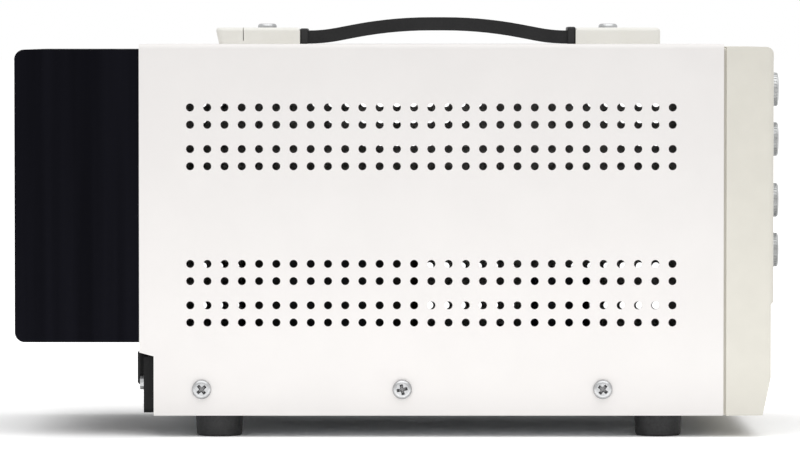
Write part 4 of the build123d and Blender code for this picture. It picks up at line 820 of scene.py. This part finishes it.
for side, node in ((-1, "handle_front_bracket"), (1, "handle_rear_bracket")):
    low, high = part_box(node)
    outer, inner = (low.y, high.y) if side < 0 else (high.y, low.y)
    bracket = add_block(
        "front_bracket" if side < 0 else "rear_bracket",
        (-BRACKET_HALF, BRACKET_HALF),
        (low.y, high.y),
        (low.z, high.z),
    )
    bpy.ops.object.mode_set(mode="EDIT")
    pick(bracket, "EDGE", lambda at, along: abs(along.z) > MOSTLY and abs(at.y - outer) < MM)
    bpy.ops.mesh.bevel(offset=BRACKET_CORNER, segments=8, affect="EDGES")
    if side > 0:
        pick(bracket, "FACE", lambda at, out: out.z < -MOSTLY)
        shrink = 1 - BRACKET_UNDERCUT / (high.y - low.y)
        bpy.ops.transform.resize(value=(1, shrink, 1), center_override=(0, inner, low.z))
    pick(bracket, "FACE", lambda at, out: out.z > MOSTLY)
    bpy.ops.mesh.bevel(offset=BRACKET_ROUNDING, segments=5, affect="EDGES")
    bpy.ops.object.mode_set(mode="OBJECT")
    if side > 0:
        joint_y = outer - JOINT_FROM_END
        joint = add_block(
            "joint",
            (-20.0 * MM, 20.0 * MM),
            (joint_y - JOINT_HALF, joint_y + JOINT_HALF),
            (high.z - JOINT_DEPTH, 200.0 * MM),
        )
        cut(bracket, joint)
    smooth(bracket)
    fit(bracket, "case", bracket_plastic, "bracket_plastic", node)
    collar = add_block(
        "front_collar" if side < 0 else "rear_collar",
        (-COLLAR_HALF, COLLAR_HALF),
        sorted((inner, inner - side * COLLAR_REACH)),
        (low.z, high.z - side * COLLAR_DROP),
    )
    bpy.ops.object.mode_set(mode="EDIT")
    bpy.ops.mesh.select_all(action="SELECT")
    bpy.ops.mesh.bevel(offset=STRAP_COLLAR_ROUNDING, segments=3, affect="EDGES")
    bpy.ops.object.mode_set(mode="OBJECT")
    smooth(collar)
    fit(collar, "case", collar_black, "strap_rubber")
    bracket_top_z = high.z

HANDLE_SCREW_HEIGHT = 1.5 * MM
HANDLE_SCREWS = ((-77.2 * MM, -0.6948), (52.2 * MM, 0.4698))  # place, and turn in radians
handle_screw = add_pan_screw("handle_screw", SCREW_DIAMETER, HANDLE_SCREW_HEIGHT)
heads = [
    copied(handle_screw, (0, y, bracket_top_z), (0, 0, recess_turn))
    for y, recess_turn in HANDLE_SCREWS
]
bpy.data.objects.remove(handle_screw)
fit(join("handle_screw_heads", heads), "case", zinc, "fastener_steel", "handle_screws")


# Studio. A white table under a white sky, with a broad key light nearly overhead,
# slightly to the camera's side, and a white card along the foot of the wall that
# the camera sees. The camera stands 2 m away and looks down a little.
SKY = 0.465  # light that the sky gives, where 1 would be a white of full strength
TABLE_LIT = 0.82  # how much light the table throws back
TABLE_SEEN = 1.32  # the same, as the camera sees it
KEY_ENERGY = 1.75
KEY_SPREAD = math.radians(80)
KEY_FROM = (-0.27, -0.05, 0.962)
CARD_PLACE = (-0.155, 0, 0.001)
CARD_SIZE = (0.15, 0.5)
CARD_ENERGY = 0.17
CAMERA_PLACE = (-2.02, 0.0018, 0.148)
CAMERA_PITCH = 2.06  # degrees down
CAMERA_LENS = 239


def add_seen(tree):
    """1 for what the camera sees straight, mirrored or through glass, and else 0."""
    rays = add_node(tree, "LightPath")
    mirrored = add_node(
        tree,
        "Math",
        {"operation": "MAXIMUM"},
        {0: rays.outputs["Is Glossy Ray"], 1: rays.outputs["Is Transmission Ray"]},
    )
    return add_node(
        tree,
        "Math",
        {"operation": "MAXIMUM"},
        {0: rays.outputs["Is Camera Ray"], 1: mirrored.outputs[0]},
    ).outputs[0]


bpy.ops.object.select_all(action="DESELECT")
bpy.ops.mesh.primitive_plane_add(size=60)
floor = bpy.context.object
floor.name = "table"
table_white = bpy.data.materials.new("white_table")
table_white.use_nodes = True
tree = table_white.node_tree
tree.nodes.remove(tree.nodes["Principled BSDF"])
level = add_node(
    tree, "MapRange", {"To Min": TABLE_LIT, "To Max": TABLE_SEEN}, {"Value": add_seen(tree)}
)
matt = add_node(tree, "BsdfDiffuse", {"Roughness": 0.0}, {"Color": level.outputs[0]})
tree.links.new(matt.outputs[0], tree.nodes["Material Output"].inputs["Surface"])
floor.data.materials.append(table_white)

world = bpy.data.worlds.new("studio")
bpy.context.scene.world = world
world.use_nodes = True
tree = world.node_tree
background = tree.nodes["Background"]
background.inputs["Color"].default_value = (1, 1, 1, 1)
strength = add_node(tree, "MapRange", {"To Min": SKY, "To Max": 1.0}, {"Value": add_seen(tree)})
tree.links.new(strength.outputs[0], background.inputs["Strength"])

bpy.ops.object.select_all(action="DESELECT")
bpy.ops.object.light_add(type="SUN", location=(-1, -0.8, 2))
key = bpy.context.object
key.name = "key_light"
key.data.energy = KEY_ENERGY
key.data.angle = KEY_SPREAD
key.rotation_euler = Vector(KEY_FROM).to_track_quat("Z", "Y").to_euler()

bpy.ops.object.select_all(action="DESELECT")
bpy.ops.object.light_add(type="AREA", location=CARD_PLACE, rotation=(math.pi, 0, 0))
card = bpy.context.object
card.name = "bounce_card"
card.data.shape = "RECTANGLE"
card.data.size, card.data.size_y = CARD_SIZE
card.data.energy = CARD_ENERGY
card.visible_camera = False

bpy.ops.object.camera_add(
    location=CAMERA_PLACE,
    rotation=(math.radians(90 - CAMERA_PITCH), 0, math.radians(-90)),
)
camera = bpy.context.object
camera.data.lens = CAMERA_LENS
camera.data.clip_end = 200
bpy.context.scene.camera = camera
bpy.context.scene.view_settings.view_transform = "Standard"
